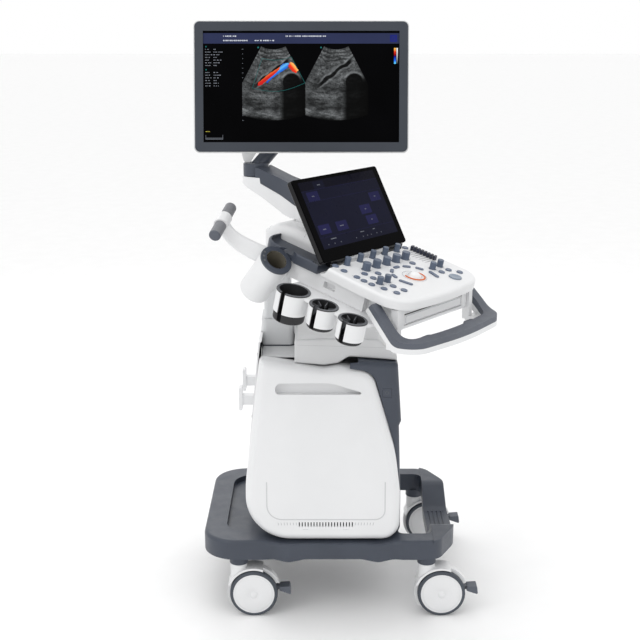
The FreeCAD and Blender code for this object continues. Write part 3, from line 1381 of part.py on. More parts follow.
def finish():
    """Check every object, then write each sub-part."""
    doc.recompute()
    for item in doc.Objects:
        if "Invalid" in item.State or "Error" in item.State:
            raise ValueError(f"{item.Label}: {item.State}")
    os.makedirs("parts", exist_ok=True)
    for item in sub_parts:
        if item.Shape.isNull() or not item.Shape.isValid():
            raise ValueError(f"{item.Label}: shape is not valid")
        item.Shape.exportStep(f"parts/{item.Label}.step")
    print(len(sub_parts), "sub-parts written")


make_base_shell()
make_base_frame()
make_caster_sockets()
make_casters()
make_side_covers()
make_front_cover()
make_power_button()
make_rear_cover()
make_inlet_panel()
make_cord_hooks()
make_top_shroud()
make_electronics_module()
make_column()
make_turntable()
make_console_lower_shell()
make_console_rear_cover()
cut_post_seat()
make_side_tray()
make_control_panel()
make_controls()
make_keyboard()
make_handle()
make_probe_holders()
make_gel_warmer()
make_hanger()
make_touch_screen()
make_arm()
make_monitor_link()
make_monitor()
finish()
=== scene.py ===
import json
import math

import bmesh
import bpy
from mathutils import Matrix, Vector
from mathutils.bvhtree import BVHTree


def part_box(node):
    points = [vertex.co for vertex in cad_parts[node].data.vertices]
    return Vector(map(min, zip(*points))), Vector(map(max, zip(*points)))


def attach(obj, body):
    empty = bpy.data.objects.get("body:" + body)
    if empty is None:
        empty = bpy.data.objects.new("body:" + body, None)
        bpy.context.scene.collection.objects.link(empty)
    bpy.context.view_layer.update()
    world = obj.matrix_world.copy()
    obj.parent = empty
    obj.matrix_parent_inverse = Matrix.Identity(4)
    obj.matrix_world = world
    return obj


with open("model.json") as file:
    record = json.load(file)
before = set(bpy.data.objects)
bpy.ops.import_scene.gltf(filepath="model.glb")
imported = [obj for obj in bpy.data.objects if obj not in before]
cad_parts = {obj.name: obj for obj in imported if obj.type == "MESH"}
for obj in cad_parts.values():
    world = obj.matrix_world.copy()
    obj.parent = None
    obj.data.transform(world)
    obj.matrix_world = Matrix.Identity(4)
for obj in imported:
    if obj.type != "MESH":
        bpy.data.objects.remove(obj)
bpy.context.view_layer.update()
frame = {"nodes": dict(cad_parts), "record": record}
nodes = frame["nodes"]
record = frame["record"]

MM = 0.001
CORNERS = ("rear_left", "rear_right", "front_left", "front_right")
AXLE_SIDE, AXLE_END, BASE_MIDDLE, AXLE_HIGH = 218, 232, -37, 59
DISPLAY_WIDE, DISPLAY_TALL = 476.6, 268.1


# ---- places ----------------------------------------------------------------------------------------------


def shift(x, y, z):
    """Move by millimetres."""
    return Matrix.Translation(Vector((x, y, z)) * MM)


def turn(axis, degrees):
    """Turn about a main axis."""
    return Matrix.Rotation(math.radians(degrees), 4, axis)


console = shift(0, 128, 0) @ turn("Z", -38)
panel = console @ shift(0, -400, 864) @ turn("X", 13.98)
touch = console @ shift(0, -262, 903) @ turn("X", -28.4)
monitor = shift(12, 77, 1278) @ turn("Y", 10.2) @ turn("Z", -90)
facing_out = turn("X", 90)
facing_right = Matrix(((0, 0, 1), (1, 0, 0), (0, 1, 0))).to_4x4()
facing_left = Matrix(((0, 0, -1), (-1, 0, 0), (0, 1, 0))).to_4x4()
touch_face = touch @ shift(0, -3.0, 0) @ facing_out
screen_face = monitor @ shift(0, 3.2, 0) @ facing_out


# ---- materials -------------------------------------------------------------------------------------------


def ramp(tree, source, low, high, start=0.35, end=0.65):
    """Colour ramp between two colours, driven by a factor."""
    node = tree.nodes.new("ShaderNodeValToRGB")
    node.color_ramp.elements[0].position = start
    node.color_ramp.elements[0].color = (*low, 1)
    node.color_ramp.elements[1].position = end
    node.color_ramp.elements[1].color = (*high, 1)
    tree.links.new(source, node.inputs["Fac"])
    return node


def noise(tree, coords, scale, detail=4.0):
    """Noise texture over the given coordinates."""
    node = tree.nodes.new("ShaderNodeTexNoise")
    node.inputs["Scale"].default_value = scale
    node.inputs["Detail"].default_value = detail
    tree.links.new(coords, node.inputs["Vector"])
    return node


def spread(tree, source, low, high):
    """Map a factor near one half onto a range."""
    node = tree.nodes.new("ShaderNodeMapRange")
    node.inputs["From Min"].default_value = 0.3
    node.inputs["From Max"].default_value = 0.7
    node.inputs["To Min"].default_value = low
    node.inputs["To Max"].default_value = high
    tree.links.new(source, node.inputs["Value"])
    return node


def finish_of(name, colour, rough, grain=1500, depth=0.05, coat=0.0, metal=0.0, tint=0.04, glow=0.0,
              spec=0.5):
    """Moulded or painted surface: slight colour drift, fine grain in its bump and smudged roughness."""
    made = bpy.data.materials.new(name)
    made.use_nodes = True
    tree = made.node_tree
    shader = tree.nodes["Principled BSDF"]
    coords = tree.nodes.new("ShaderNodeTexCoord").outputs["Object"]
    drift = noise(tree, coords, 9.0, 3.0)
    low = [max(0.0, c * (1 - tint)) for c in colour]
    high = [min(1.0, c * (1 + tint)) for c in colour]
    blend = ramp(tree, drift.outputs["Fac"], low, high)
    tree.links.new(blend.outputs["Color"], shader.inputs["Base Color"])
    smudge = noise(tree, coords, 38.0, 5.0)
    roughness = spread(tree, smudge.outputs["Fac"], max(0.03, rough - 0.05), min(1.0, rough + 0.06))
    tree.links.new(roughness.outputs["Result"], shader.inputs["Roughness"])
    fine = noise(tree, coords, grain, 2.0)
    bump = tree.nodes.new("ShaderNodeBump")
    bump.inputs["Strength"].default_value = depth
    bump.inputs["Distance"].default_value = 0.0004
    tree.links.new(fine.outputs["Fac"], bump.inputs["Height"])
    tree.links.new(bump.outputs["Normal"], shader.inputs["Normal"])
    shader.inputs["Metallic"].default_value = metal
    shader.inputs["Coat Weight"].default_value = coat
    shader.inputs["Coat Roughness"].default_value = 0.12
    shader.inputs["Specular IOR Level"].default_value = spec
    if glow:
        tree.links.new(blend.outputs["Color"], shader.inputs["Emission Color"])
        shader.inputs["Emission Strength"].default_value = glow
    return made


WHITE = finish_of("white_moulding", (0.755, 0.760, 0.768), 0.34, depth=0.10, coat=0.15, tint=0.012)
PALE = finish_of("off_white_moulding", (0.68, 0.685, 0.69), 0.38, depth=0.10, coat=0.1, tint=0.015)
SLATE = finish_of("slate_moulding", (0.050, 0.059, 0.079), 0.40, depth=0.20, coat=0.04, tint=0.06, spec=0.4)
DEEP = finish_of("deep_slate", (0.040, 0.048, 0.062), 0.45, depth=0.22, tint=0.08)
SHROUD = finish_of("light_grey_moulding", (0.60, 0.605, 0.61), 0.42, depth=0.12, tint=0.02)
GRIP = finish_of("soft_grip", (0.088, 0.098, 0.122), 0.52, grain=1100, depth=0.30, tint=0.06)
HANGER = finish_of("hanger_grip_grey", (0.190, 0.195, 0.210), 0.50, grain=1100, depth=0.30, tint=0.05)
BEZEL = finish_of("bezel_slate", (0.037, 0.044, 0.057), 0.42, depth=0.15, tint=0.05, spec=0.35)
BUTTON = finish_of("button_blue_grey", (0.120, 0.150, 0.215), 0.42, depth=0.12, coat=0.1, tint=0.06)
KNOB = finish_of("knob_blue_grey", (0.088, 0.115, 0.168), 0.40, depth=0.15, coat=0.1, tint=0.06)
PALE_KEY = finish_of("key_pale_blue", (0.200, 0.245, 0.310), 0.36, depth=0.12, coat=0.2, tint=0.05)
NAVY_CAP = finish_of("slider_navy", (0.018, 0.022, 0.045), 0.35, depth=0.12, tint=0.10)
BLACK = finish_of("black_gloss", (0.006, 0.006, 0.007), 0.20, depth=0.02, coat=0.05, tint=0.10, spec=0.25)
TYRE = finish_of("tyre_polyurethane", (0.055, 0.064, 0.080), 0.60, grain=900, depth=0.35, tint=0.10)
STEEL = finish_of("brushed_metal", (0.33, 0.32, 0.31), 0.30, grain=2600, depth=0.25, metal=1.0, tint=0.08)
WARM_CUP = finish_of("warm_metal_cup", (0.30, 0.275, 0.225), 0.30, grain=2200, depth=0.2, metal=0.55,
                     tint=0.15)
CAGE = finish_of("module_sheet", (0.50, 0.50, 0.52), 0.40, grain=2200, depth=0.25, metal=0.9, tint=0.06)
FRAME = finish_of("powder_coat", (0.05, 0.05, 0.055), 0.55, grain=1400, depth=0.5, tint=0.08)
COLUMN = finish_of("column_paint", (0.62, 0.63, 0.64), 0.35, depth=0.2, coat=0.2, tint=0.02)
RUBBER = finish_of("liner_rubber", (0.012, 0.012, 0.014), 0.55, grain=1000, depth=0.30, tint=0.15)
RIM_GREY = finish_of("liner_rim", (0.105, 0.110, 0.120), 0.50, grain=1000, depth=0.25, tint=0.08)
# the orange is the ring's own colour; its weak glow is painted light, since the ring is no lamp
ORANGE = finish_of("orange_ring", (0.56, 0.125, 0.030), 0.34, depth=0.08, coat=0.05, tint=0.05, glow=0.12,
                   spec=0.3)
BALL = finish_of("ball_white", (0.82, 0.82, 0.82), 0.15, depth=0.02, coat=0.6, tint=0.01)
SEAM = finish_of("seam_shadow", (0.22, 0.225, 0.235), 0.60, depth=0.2, tint=0.08)
GROOVE = finish_of("groove_shade", (0.43, 0.435, 0.445), 0.55, depth=0.1, tint=0.04)
EMBOSS = finish_of("embossed_shade", (0.56, 0.565, 0.575), 0.55, depth=0.1, tint=0.03)
# painted shade: near-black colour for recess floors and open gaps, where shade falls
GAP_SHADE = finish_of("painted_gap_shade", (0.020, 0.021, 0.024), 0.60, depth=0.2, tint=0.12)
# print colour for legends and marks; it also serves as painted shade along the groove round the drawer front
PRINT_AND_GROOVE_SHADE = finish_of("panel_print_and_groove_shade", (0.30, 0.32, 0.36), 0.55, depth=0.05, tint=0.06)
SCREEN = finish_of("display_black", (0.0010, 0.0010, 0.0013), 0.30, depth=0.01, coat=0.0, tint=0.2, spec=0.02)
HEADER = finish_of("header_navy", (0.020, 0.025, 0.062), 0.4, depth=0.01, tint=0.06, glow=0.35, spec=0.04)
WHITE_INK = finish_of("picture_white", (0.42, 0.44, 0.48), 0.4, depth=0.01, tint=0.05, glow=0.5, spec=0.05)
DIM_INK = finish_of("picture_grey", (0.13, 0.14, 0.16), 0.4, depth=0.01, tint=0.10, glow=0.5, spec=0.05)
TEAL_INK = finish_of("picture_teal", (0.010, 0.10, 0.095), 0.4, depth=0.01, tint=0.10, glow=0.5, spec=0.05)
YELLOW_INK = finish_of("picture_yellow", (0.35, 0.30, 0.04), 0.4, depth=0.01, tint=0.10, glow=0.4, spec=0.05)
ICON_BLUE = finish_of("picture_icon", (0.010, 0.014, 0.12), 0.4, depth=0.01, tint=0.20, glow=0.5, spec=0.05)
TOUCH_NAVY = finish_of("touch_navy", (0.0022, 0.0025, 0.0095), 0.30, depth=0.01, tint=0.10, glow=0.8,
                       spec=0.05)
TOUCH_TOP = finish_of("touch_dark_band", (0.0007, 0.0006, 0.0040), 0.30, depth=0.01, tint=0.10, glow=0.8,
                      spec=0.05)
TOUCH_KEY = finish_of("touch_key", (0.0070, 0.0068, 0.0330), 0.30, depth=0.01, tint=0.12, glow=0.8, spec=0.05)


def set_stops(node, stops):
    """Give a colour ramp its stops, as pairs of a place and a colour."""
    elements = node.color_ramp.elements
    for i, (place, colour) in enumerate(stops):
        element = elements[i] if i < 2 else elements.new(place)
        element.position = place
        element.color = (*colour, 1)


def light_up(tree, colour, glow, rough):
    """Let a colour both tint the surface and glow from it, as on a display."""
    shader = tree.nodes["Principled BSDF"]
    tree.links.new(colour, shader.inputs["Base Color"])
    tree.links.new(colour, shader.inputs["Emission Color"])
    shader.inputs["Emission Strength"].default_value = glow
    shader.inputs["Roughness"].default_value = rough
    shader.inputs["Specular IOR Level"].default_value = 0.05


def bands(name, stops, low, high, glow=0.25, axis="Y"):
    """Emissive strip whose colour runs through the given stops along an object axis."""
    made = bpy.data.materials.new(name)
    made.use_nodes = True
    tree = made.node_tree
    coords = tree.nodes.new("ShaderNodeTexCoord").outputs["Object"]
    split = tree.nodes.new("ShaderNodeSeparateXYZ")
    tree.links.new(coords, split.inputs["Vector"])
    reach = tree.nodes.new("ShaderNodeMapRange")
    reach.inputs["From Min"].default_value = low
    reach.inputs["From Max"].default_value = high
    tree.links.new(split.outputs[axis], reach.inputs["Value"])
    node = tree.nodes.new("ShaderNodeValToRGB")
    set_stops(node, stops)
    tree.links.new(reach.outputs["Result"], node.inputs["Fac"])
    light_up(tree, node.outputs["Color"], glow, 0.4)
    return made


def echo_picture(name):
    """Grey scan: layered arcs near the top, streaky tissue below them, a dark vessel and a shadow."""
    made = bpy.data.materials.new(name)
    made.use_nodes = True
    tree = made.node_tree
    links = tree.links
    coords = tree.nodes.new("ShaderNodeTexCoord").outputs["Object"]

    def maths(operation, first, second=0.0):
        """Math node on two values or sockets."""
        node = tree.nodes.new("ShaderNodeMath")
        node.operation = operation
        for i, value in enumerate((first, second)):
            if isinstance(value, (int, float)):
                node.inputs[i].default_value = value
            else:
                links.new(value, node.inputs[i])
        return node.outputs["Value"]

    def fade(source, low, high, to_low=0.0, to_high=1.0):
        """Map a value from one range to another, clamped."""
        node = tree.nodes.new("ShaderNodeMapRange")
        for label, value in (("From Min", low), ("From Max", high), ("To Min", to_low), ("To Max", to_high)):
            node.inputs[label].default_value = value
        links.new(source, node.inputs["Value"])
        return node.outputs["Result"]

    split = tree.nodes.new("ShaderNodeSeparateXYZ")
    links.new(coords, split.inputs["Vector"])
    across, down = split.outputs["X"], split.outputs["Y"]
    distance = maths("SQRT", maths("ADD", maths("MULTIPLY", across, across), maths("MULTIPLY", down, down)))
    angle = maths("ARCTAN2", across, maths("MULTIPLY", down, -1))
    polar = tree.nodes.new("ShaderNodeCombineXYZ")
    links.new(maths("MULTIPLY", angle, 0.07), polar.inputs["X"])
    links.new(distance, polar.inputs["Y"])
    wobble = noise(tree, coords, 24.0, 2.0).outputs["Fac"]
    moved = maths("ADD", distance, maths("MULTIPLY", maths("SUBTRACT", wobble, 0.5), 0.022))
    depth = tree.nodes.new("ShaderNodeValToRGB")
    stops = [(0.0, 0.30), (0.02, 0.55), (0.05, 0.16), (0.075, 0.62), (0.105, 0.14), (0.13, 0.50),
             (0.155, 0.12), (0.18, 0.58), (0.215, 0.26), (0.33, 0.34), (0.46, 0.30), (0.58, 0.16),
             (0.66, 0.40), (0.74, 0.20), (0.84, 0.14), (0.92, 0.42), (0.97, 0.22), (1.0, 0.02)]
    set_stops(depth, [(place, (value, value, value)) for place, value in stops])
    links.new(fade(moved, 62 * MM, 233 * MM), depth.inputs["Fac"])
    streaks = spread(tree, noise(tree, polar.outputs["Vector"], 150.0, 6.0).outputs["Fac"], 0.25, 1.45)
    grain = spread(tree, noise(tree, coords, 330.0, 3.0).outputs["Fac"], 0.50, 1.45)
    patches = spread(tree, noise(tree, coords, 30.0, 3.0).outputs["Fac"], 0.35, 1.30)
    level = maths("MULTIPLY", depth.outputs["Color"], streaks.outputs["Result"])
    level = maths("MULTIPLY", level, grain.outputs["Result"])
    level = maths("MULTIPLY", level, patches.outputs["Result"])

    # vessel: a dark slanting band with bright walls, bent by the same wobble
    slant = maths("ADD", maths("MULTIPLY", across, -0.60), maths("MULTIPLY", maths("ADD", down, 0.116), 0.80))
    slant = maths("ADD", slant, maths("MULTIPLY", maths("SUBTRACT", wobble, 0.5), 0.020))
    off = maths("ABSOLUTE", slant)
    within = maths("MULTIPLY", fade(across, -0.048, -0.036), fade(across, 0.046, 0.034))
    wall = maths("MULTIPLY", maths("MULTIPLY", fade(off, 0.0030, 0.0050), fade(off, 0.0095, 0.0060)), within)
    inside = maths("MULTIPLY", fade(off, 0.0048, 0.0030), within)
    level = maths("ADD", level, maths("MULTIPLY", wall, 0.22))
    level = maths("MULTIPLY", level, maths("SUBTRACT", 1.0, maths("MULTIPLY", inside, 0.92)))

    # shadow under a bright curved edge on the right
    gap_x, gap_y = maths("SUBTRACT", across, 0.044), maths("ADD", down, 0.142)
    reach = maths("SQRT", maths("ADD", maths("MULTIPLY", gap_x, gap_x), maths("MULTIPLY", gap_y, gap_y)))
    edge = maths("MULTIPLY", fade(reach, 0.0215, 0.0240), fade(reach, 0.0300, 0.0250))
    edge = maths("MULTIPLY", maths("MULTIPLY", edge, fade(gap_y, 0.006, 0.016)), 0.34)
    level = maths("ADD", level, edge)
    under = maths("MULTIPLY", fade(down, -0.126, -0.140), fade(across, 0.014, 0.026))
    dark = maths("MAXIMUM", fade(reach, 0.0240, 0.0205), under)
    level = maths("MULTIPLY", level, maths("SUBTRACT", 1.0, maths("MULTIPLY", dark, 0.96)))
    level = maths("MULTIPLY", level, fade(across, 0.076, 0.050))
    level = maths("MULTIPLY", level, 0.18)
    mix = tree.nodes.new("ShaderNodeCombineColor")
    links.new(maths("MULTIPLY", level, 0.92), mix.inputs["Red"])
    links.new(maths("MULTIPLY", level, 0.97), mix.inputs["Green"])
    links.new(level, mix.inputs["Blue"])
    light_up(tree, mix.outputs["Color"], 0.9, 0.3)
    return made


ECHO = echo_picture("scan_speckle")
FLOW_RED = bands("flow_red", [(0.0, (0.42, 0.005, 0.008)), (0.55, (0.50, 0.015, 0.010)),
                              (0.8, (0.62, 0.10, 0.02)), (1.0, (0.45, 0.01, 0.01))], -0.008, 0.008)
FLOW_BLUE = bands("flow_blue", [(0.0, (0.01, 0.03, 0.35)), (0.4, (0.02, 0.16, 0.60)),
                                (0.62, (0.10, 0.38, 0.68)), (1.0, (0.01, 0.03, 0.42))], -0.010, 0.009)
FLOW_HOT = bands("flow_hot", [(0.0, (0.35, 0.01, 0.01)), (0.45, (0.70, 0.03, 0.01)),
                              (0.72, (0.85, 0.42, 0.10)), (1.0, (0.55, 0.02, 0.01))], -0.012, 0.012)
SCALE_BAR = bands("flow_scale", [(0.0, (0.10, 0.55, 0.80)), (0.20, (0.01, 0.10, 0.70)),
                                 (0.46, (0.0, 0.0, 0.15)), (0.54, (0.15, 0.0, 0.0)),
                                 (0.75, (0.60, 0.02, 0.01)), (1.0, (0.80, 0.45, 0.08))], -0.019, 0.019)
GREY_BAR = bands("grey_scale", [(0.0, (0.0, 0.0, 0.0)), (1.0, (0.75, 0.75, 0.75))], -0.019, 0.019)


# ---- mesh helpers ----------------------------------------------------------------------------------------


def add_object(name, mesh, material, body, place=None, smooth=True):
    """Link a mesh as a piece that rides on a body."""
    piece = bpy.data.objects.new(name, mesh)
    bpy.context.scene.collection.objects.link(piece)
    piece.data.materials.append(material)
    for face in piece.data.polygons:
        face.use_smooth = smooth
    if place is not None:
        piece.matrix_world = place
    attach(piece, body)
    return piece


def add_grown(name, grown, material, body, place=None, smooth=True):
    """Turn a bmesh into a piece, with its normals outward."""
    bmesh.ops.recalc_face_normals(grown, faces=grown.faces)
    mesh = bpy.data.meshes.new(name)
    grown.to_mesh(mesh)
    grown.free()
    return add_object(name, mesh, material, body, place, smooth)


def plates(name, outlines, place, thick, material, body):
    """Thin raised shapes on a face: closed outlines in millimetres, extruded outward."""
    grown = bmesh.new()
    for outline in outlines:
        near = [grown.verts.new((x * MM, y * MM, -0.0002)) for x, y in outline]
        far = [grown.verts.new((x * MM, y * MM, thick * MM)) for x, y in outline]
        grown.faces.new(list(reversed(near)))
        grown.faces.new(far)
        for i in range(len(near)):
            j = (i + 1) % len(near)
            grown.faces.new((near[i], near[j], far[j], far[i]))
    return add_grown(name, grown, material, body, place, smooth=False)


def rectangle(x, y, wide, tall, corner=0.0):
    """Outline of a rectangle about a centre, with rounded corners."""
    if corner <= 0:
        return [(x - wide / 2, y - tall / 2), (x + wide / 2, y - tall / 2),
                (x + wide / 2, y + tall / 2), (x - wide / 2, y + tall / 2)]
    points = []
    for cx, cy, start in ((1, -1, -90), (1, 1, 0), (-1, 1, 90), (-1, -1, 180)):
        for step in range(5):
            angle = math.radians(start + 22.5 * step)
            points.append((x + cx * (wide / 2 - corner) + corner * math.cos(angle),
                           y + cy * (tall / 2 - corner) + corner * math.sin(angle)))
    return points


def ring_band(x, y, inner, outer, start=0.0, end=360.0, steps=48):
    """Quads of a flat arc band."""
    quads = []
    for i in range(steps):
        a = math.radians(start + (end - start) * i / steps)
        b = math.radians(start + (end - start) * (i + 1) / steps)
        quads.append([(x + inner * math.cos(a), y + inner * math.sin(a)),
                      (x + outer * math.cos(a), y + outer * math.sin(a)),
                      (x + outer * math.cos(b), y + outer * math.sin(b)),
                      (x + inner * math.cos(b), y + inner * math.sin(b))])
    return quads


def lathe(name, profile, place, material, body, steps=48, close=False):
    """Turned piece: (radius, height) pairs in millimetres about the local Z axis."""
    grown = bmesh.new()
    rings = []
    for radius, height in profile:
        if radius < 0.001:
            rings.append([grown.verts.new((0, 0, height * MM))])
            continue
        rings.append([grown.verts.new((radius * MM * math.cos(2 * math.pi * i / steps),
                                       radius * MM * math.sin(2 * math.pi * i / steps), height * MM))
                      for i in range(steps)])
    pairs = list(zip(rings, rings[1:])) + ([(rings[-1], rings[0])] if close else [])
    for lower, upper in pairs:
        for i in range(steps):
            j = (i + 1) % steps
            if len(lower) == 1:
                grown.faces.new((lower[0], upper[j], upper[i]))
            elif len(upper) == 1:
                grown.faces.new((lower[i], lower[j], upper[0]))
            else:
                grown.faces.new((lower[i], lower[j], upper[j], upper[i]))
    return add_grown(name, grown, material, body, place)


def tube(name, lines, radius, material, body, place=None, cyclic=False):
    """Round lines through points in metres, joined in one piece."""
    curve = bpy.data.curves.new(name, "CURVE")
    curve.dimensions = "3D"
    curve.bevel_depth = radius * MM
    curve.bevel_resolution = 2
    curve.use_fill_caps = not cyclic
    for line in lines:
        spline = curve.splines.new("POLY")
        spline.points.add(len(line) - 1)
        for point, corner in zip(spline.points, line):
            point.co = (*corner, 1)
        spline.use_cyclic_u = cyclic
    shaped = bpy.data.objects.new(name + "_curve", curve)
    bpy.context.scene.collection.objects.link(shaped)
    bpy.context.view_layer.update()
    mesh = bpy.data.meshes.new_from_object(shaped.evaluated_get(bpy.context.evaluated_depsgraph_get()))
    bpy.data.objects.remove(shaped)
    mesh.name = name
    mesh.materials.clear()
    return add_object(name, mesh, material, body, place)


trees = {}


def surface_point(node, start, direction):
    """First point of a CAD node's surface along a ray, with its normal."""
    if node not in trees:
        mesh = nodes[node].data
        trees[node] = BVHTree.FromPolygons([v.co.copy() for v in mesh.vertices],
                                           [tuple(p.vertices) for p in mesh.polygons])
    hit, normal, _, _ = trees[node].ray_cast(Vector(start), Vector(direction).normalized())
    if hit is not None and normal.dot(Vector(direction)) > 0:
        normal = -normal
    return hit, normal


def drape(node, points, direction, sink=0.0):
    """Points moved along a direction onto a node's surface, sunk by a distance in millimetres."""
    laid = []
    for point in points:
        hit, normal = surface_point(node, point, direction)
        if hit is not None:
            laid.append(hit - normal * sink * MM)
    return laid


def arc(x, y, radius, start, end, steps=10):
    """Points along a circular arc, its ends given in degrees."""
    angles = [math.radians(start + (end - start) * i / steps) for i in range(steps + 1)]
    return [(x + radius * math.cos(angle), y + radius * math.sin(angle)) for angle in angles]


def dress(node, materials, choose=None):
    """Give a CAD node its materials, with a face-by-face choice where it has more than one."""
    mesh = nodes[node].data
    mesh.materials.clear()
    for material in materials:
        mesh.materials.append(material)
    if choose:
        for face in mesh.polygons:
            face.material_index = choose(face.center, face.normal)


# ---- CAD nodes -------------------------------------------------------------------------------------------

BY_SLOT = {"white_plastic": WHITE, "slate_plastic": SLATE, "grey_shroud": SHROUD, "steel_frame": FRAME,
           "column_paint": COLUMN, "tyre": TYRE, "knob_blue_grey": KNOB, "black_gloss": BLACK,
           "screen_glass": SCREEN, "liner_rubber": RUBBER, "grip_grey": GRIP, "module_metal": CAGE,
           "ball_white": BALL, "bracket_metal": STEEL, "slider_navy": NAVY_CAP}
for part in record["subparts"]:
    dress(part["node"], [BY_SLOT[part["material_slot"]]])

panel_up = (panel.to_3x3() @ Vector((0, 0, 1))).normalized()
TYRE_INSIDE = 50.5 * MM
for corner in CORNERS:
    side = -1 if "left" in corner else 1
    end = 1 if "rear" in corner else -1
    axle = Vector((side * AXLE_SIDE, end * AXLE_END + BASE_MIDDLE, AXLE_HIGH)) * MM

    def wheel_face(centre, normal, axle=axle):
        """Slot of a wheel's face: the tyre outside its radius, the hub inside."""
        away = Vector((0, centre.y - axle.y, centre.z - axle.z)).length
        return 0 if away > TYRE_INSIDE else 1
    dress("caster_wheels_" + corner, [TYRE, WHITE], wheel_face)
dress("freeze_button", [PALE_KEY])
dress("touch_hinge_bracket", [WHITE])
dress("monitor_bezel", [BEZEL])
for keys in ("function_buttons", "ring_keys"):
    dress(keys, [BUTTON])
dress("monitor_rear_shell", [PALE])
LINER_TOP = -70 * MM
hanger_centre = console @ (Vector((-225, -10, 981)) * MM)
hanger_along = (console.to_3x3() @ Vector((-0.853, -0.359, -0.374))).normalized()
HANGER_END = 58 * MM
warmer_mouth = console @ (Vector((-200, -152, 904)) * MM)
warmer_axis = (console.to_3x3() @ Vector((-0.175, -0.685, 0.686))).normalized()
WARMER_CUP_RADIUS = 25.6 * MM


def liner_face(centre, normal):
    """Slot of a probe liner's face: the rim on top, dark rubber elsewhere."""
    return 1 if normal.dot(panel_up) > 0.5 and (panel.inverted() @ centre).z > LINER_TOP else 0


def hanger_face(centre, normal):
    """Slot of a hanger grip's face: darker at the far ends."""
    return 1 if abs((centre - hanger_centre).dot(hanger_along)) > HANGER_END else 0


def warmer_face(centre, normal):
    """Slot of a rim face of the gel warmer: its metal cup inside, the rim outside."""
    out = centre - warmer_mouth
    along = out.dot(warmer_axis)
    away = (out - warmer_axis * along).length
    return 1 if away < WARMER_CUP_RADIUS and along < -0.5 * MM else 0


dress("probe_liners", [RUBBER, RIM_GREY], liner_face)
dress("hanger_grips", [HANGER, GRIP], hanger_face)
dress("gel_warmer_rim", [SLATE, WARM_CUP], warmer_face)

# ---- main display ----------------------------------------------------------------------------------------


def on_screen(u, v):
    """Place on the display from fractions of its width and height, from the upper left."""
    return (u - 0.5) * DISPLAY_WIDE, (0.5 - v) * DISPLAY_TALL


def dashes(u, v, wide, count_seed, tall=2.4):
    """Row of small plain marks standing for a line of small characters."""
    marks = []
    x, y = on_screen(u, v)
    step = 0
    while step < wide:
        length = 1.6 + 1.1 * ((count_seed * 7 + int(step * 3)) % 3)
        high = tall * (0.75 + 0.25 * ((count_seed + int(step)) % 2))
        marks.append(rectangle(x + step + length / 2, y, length, high))
        step += length + (1.0 if (count_seed + int(step)) % 5 else 3.2)
    return marks


def fan(inner, outer, half, clip_low, clip_high):
    """Fan-shaped field about its apex, clipped on both sides by upright lines."""
    points = []
    for radius, order in ((inner, 1), (outer, -1)):
        for i in range(41):
            angle = math.radians(order * (-half + 2 * half * i / 40))
            points.append((radius * math.sin(angle), -radius * math.cos(angle)))
        clip = clip_high if order > 0 else clip_low
        points.append((clip, -abs(clip) / math.tan(math.radians(half))))
    return [(min(max(x, clip_low), clip_high), y) for x, y in points]


plates("monitor_header", [rectangle(0, 116.2, 476.0, 25.0)], screen_face, 0.10, HEADER, "monitor")
for label, apex_x in (("left", -67.6), ("right", 85.0)):
    plates("scan_" + label, [fan(62.4, 233, 28, -75.8, 78)], screen_face @ shift(apex_x, 152, 0), 0.12, ECHO,
           "monitor")
white_marks = []
for seed, (u, v, wide) in enumerate(((0.103, 0.047, 30), (0.103, 0.086, 58), (0.263, 0.086, 50),
                                     (0.421, 0.047, 96))):
    white_marks += dashes(u, v, wide, seed, 3.0)
plates("header_marks", white_marks, screen_face @ shift(0, 0, 0.1), 0.10, WHITE_INK, "monitor")
grey_marks = []
for row in range(7):
    grey_marks += dashes(0.011, 0.165 + 0.024 * row, 9 + 3 * (row % 3), row, 2.0)
    grey_marks += dashes(0.053, 0.165 + 0.024 * row, 8 + 6 * ((row * 5) % 3), row + 3, 2.0)
for row in range(6):
    grey_marks += dashes(0.011, 0.372 + 0.024 * row, 9 + 3 * (row % 3), row + 2, 2.0)
    grey_marks += dashes(0.053, 0.372 + 0.024 * row, 8 + 3 * ((row * 5) % 3), row + 5, 2.0)
for row in range(16):
    x, y = on_screen(0.2015, 0.1635 + 0.0425 * row)
    grey_marks.append(rectangle(x, y, 3.6 if row % 5 == 0 else 1.8, 0.9))
for x_low in (0.0115, 0.0985):
    grey_marks.append(rectangle(*on_screen(x_low, 0.954), 0.7, 11))
grey_marks.append(rectangle(*on_screen(0.055, 0.962), 41, 1.0))
grey_marks.append(rectangle(*on_screen(0.055, 0.972), 41, 1.0))
plates("side_marks", grey_marks, screen_face, 0.12, DIM_INK, "monitor")
plates("yellow_mark", dashes(0.011, 0.903, 9, 2, 2.2), screen_face, 0.12, YELLOW_INK, "monitor")
teal = [rectangle(*on_screen(0.281, 0.148), 4, 4, 1.8), rectangle(*on_screen(0.601, 0.148), 4, 4, 1.8),
        rectangle(*on_screen(0.015, 0.141), 3, 3), rectangle(*on_screen(0.015, 0.347), 3, 3)]
plates("teal_marks", teal, screen_face, 0.14, TEAL_INK, "monitor")


def ribbon(points, wide):
    """Quads of a flat line of one width through points."""
    quads = []
    for (ax, ay), (bx, by) in zip(points, points[1:]):
        length = math.hypot(bx - ax, by - ay)
        if length < 1e-6:
            continue
        nx, ny = -(by - ay) / length * wide / 2, (bx - ax) / length * wide / 2
        quads.append([(ax + nx, ay + ny), (bx + nx, by + ny), (bx - nx, by - ny), (ax - nx, ay - ny)])
    return quads


field = [on_screen(0.300, 0.245)]
field += [on_screen(0.300 + 0.15 * i / 8, 0.245 + 0.022 * math.sin(math.pi * i / 8) - 0.012 * i / 8)
          for i in range(9)]
field += [on_screen(0.519, 0.465)]
field += [on_screen(0.519 - 0.268 * i / 12, 0.465 + 0.045 * i / 12 + 0.052 * math.sin(math.pi * i / 12))
          for i in range(13)]
field += [on_screen(0.300, 0.245)]
plates("flow_field_line", ribbon(field, 0.7), screen_face, 0.16, TEAL_INK, "monitor")


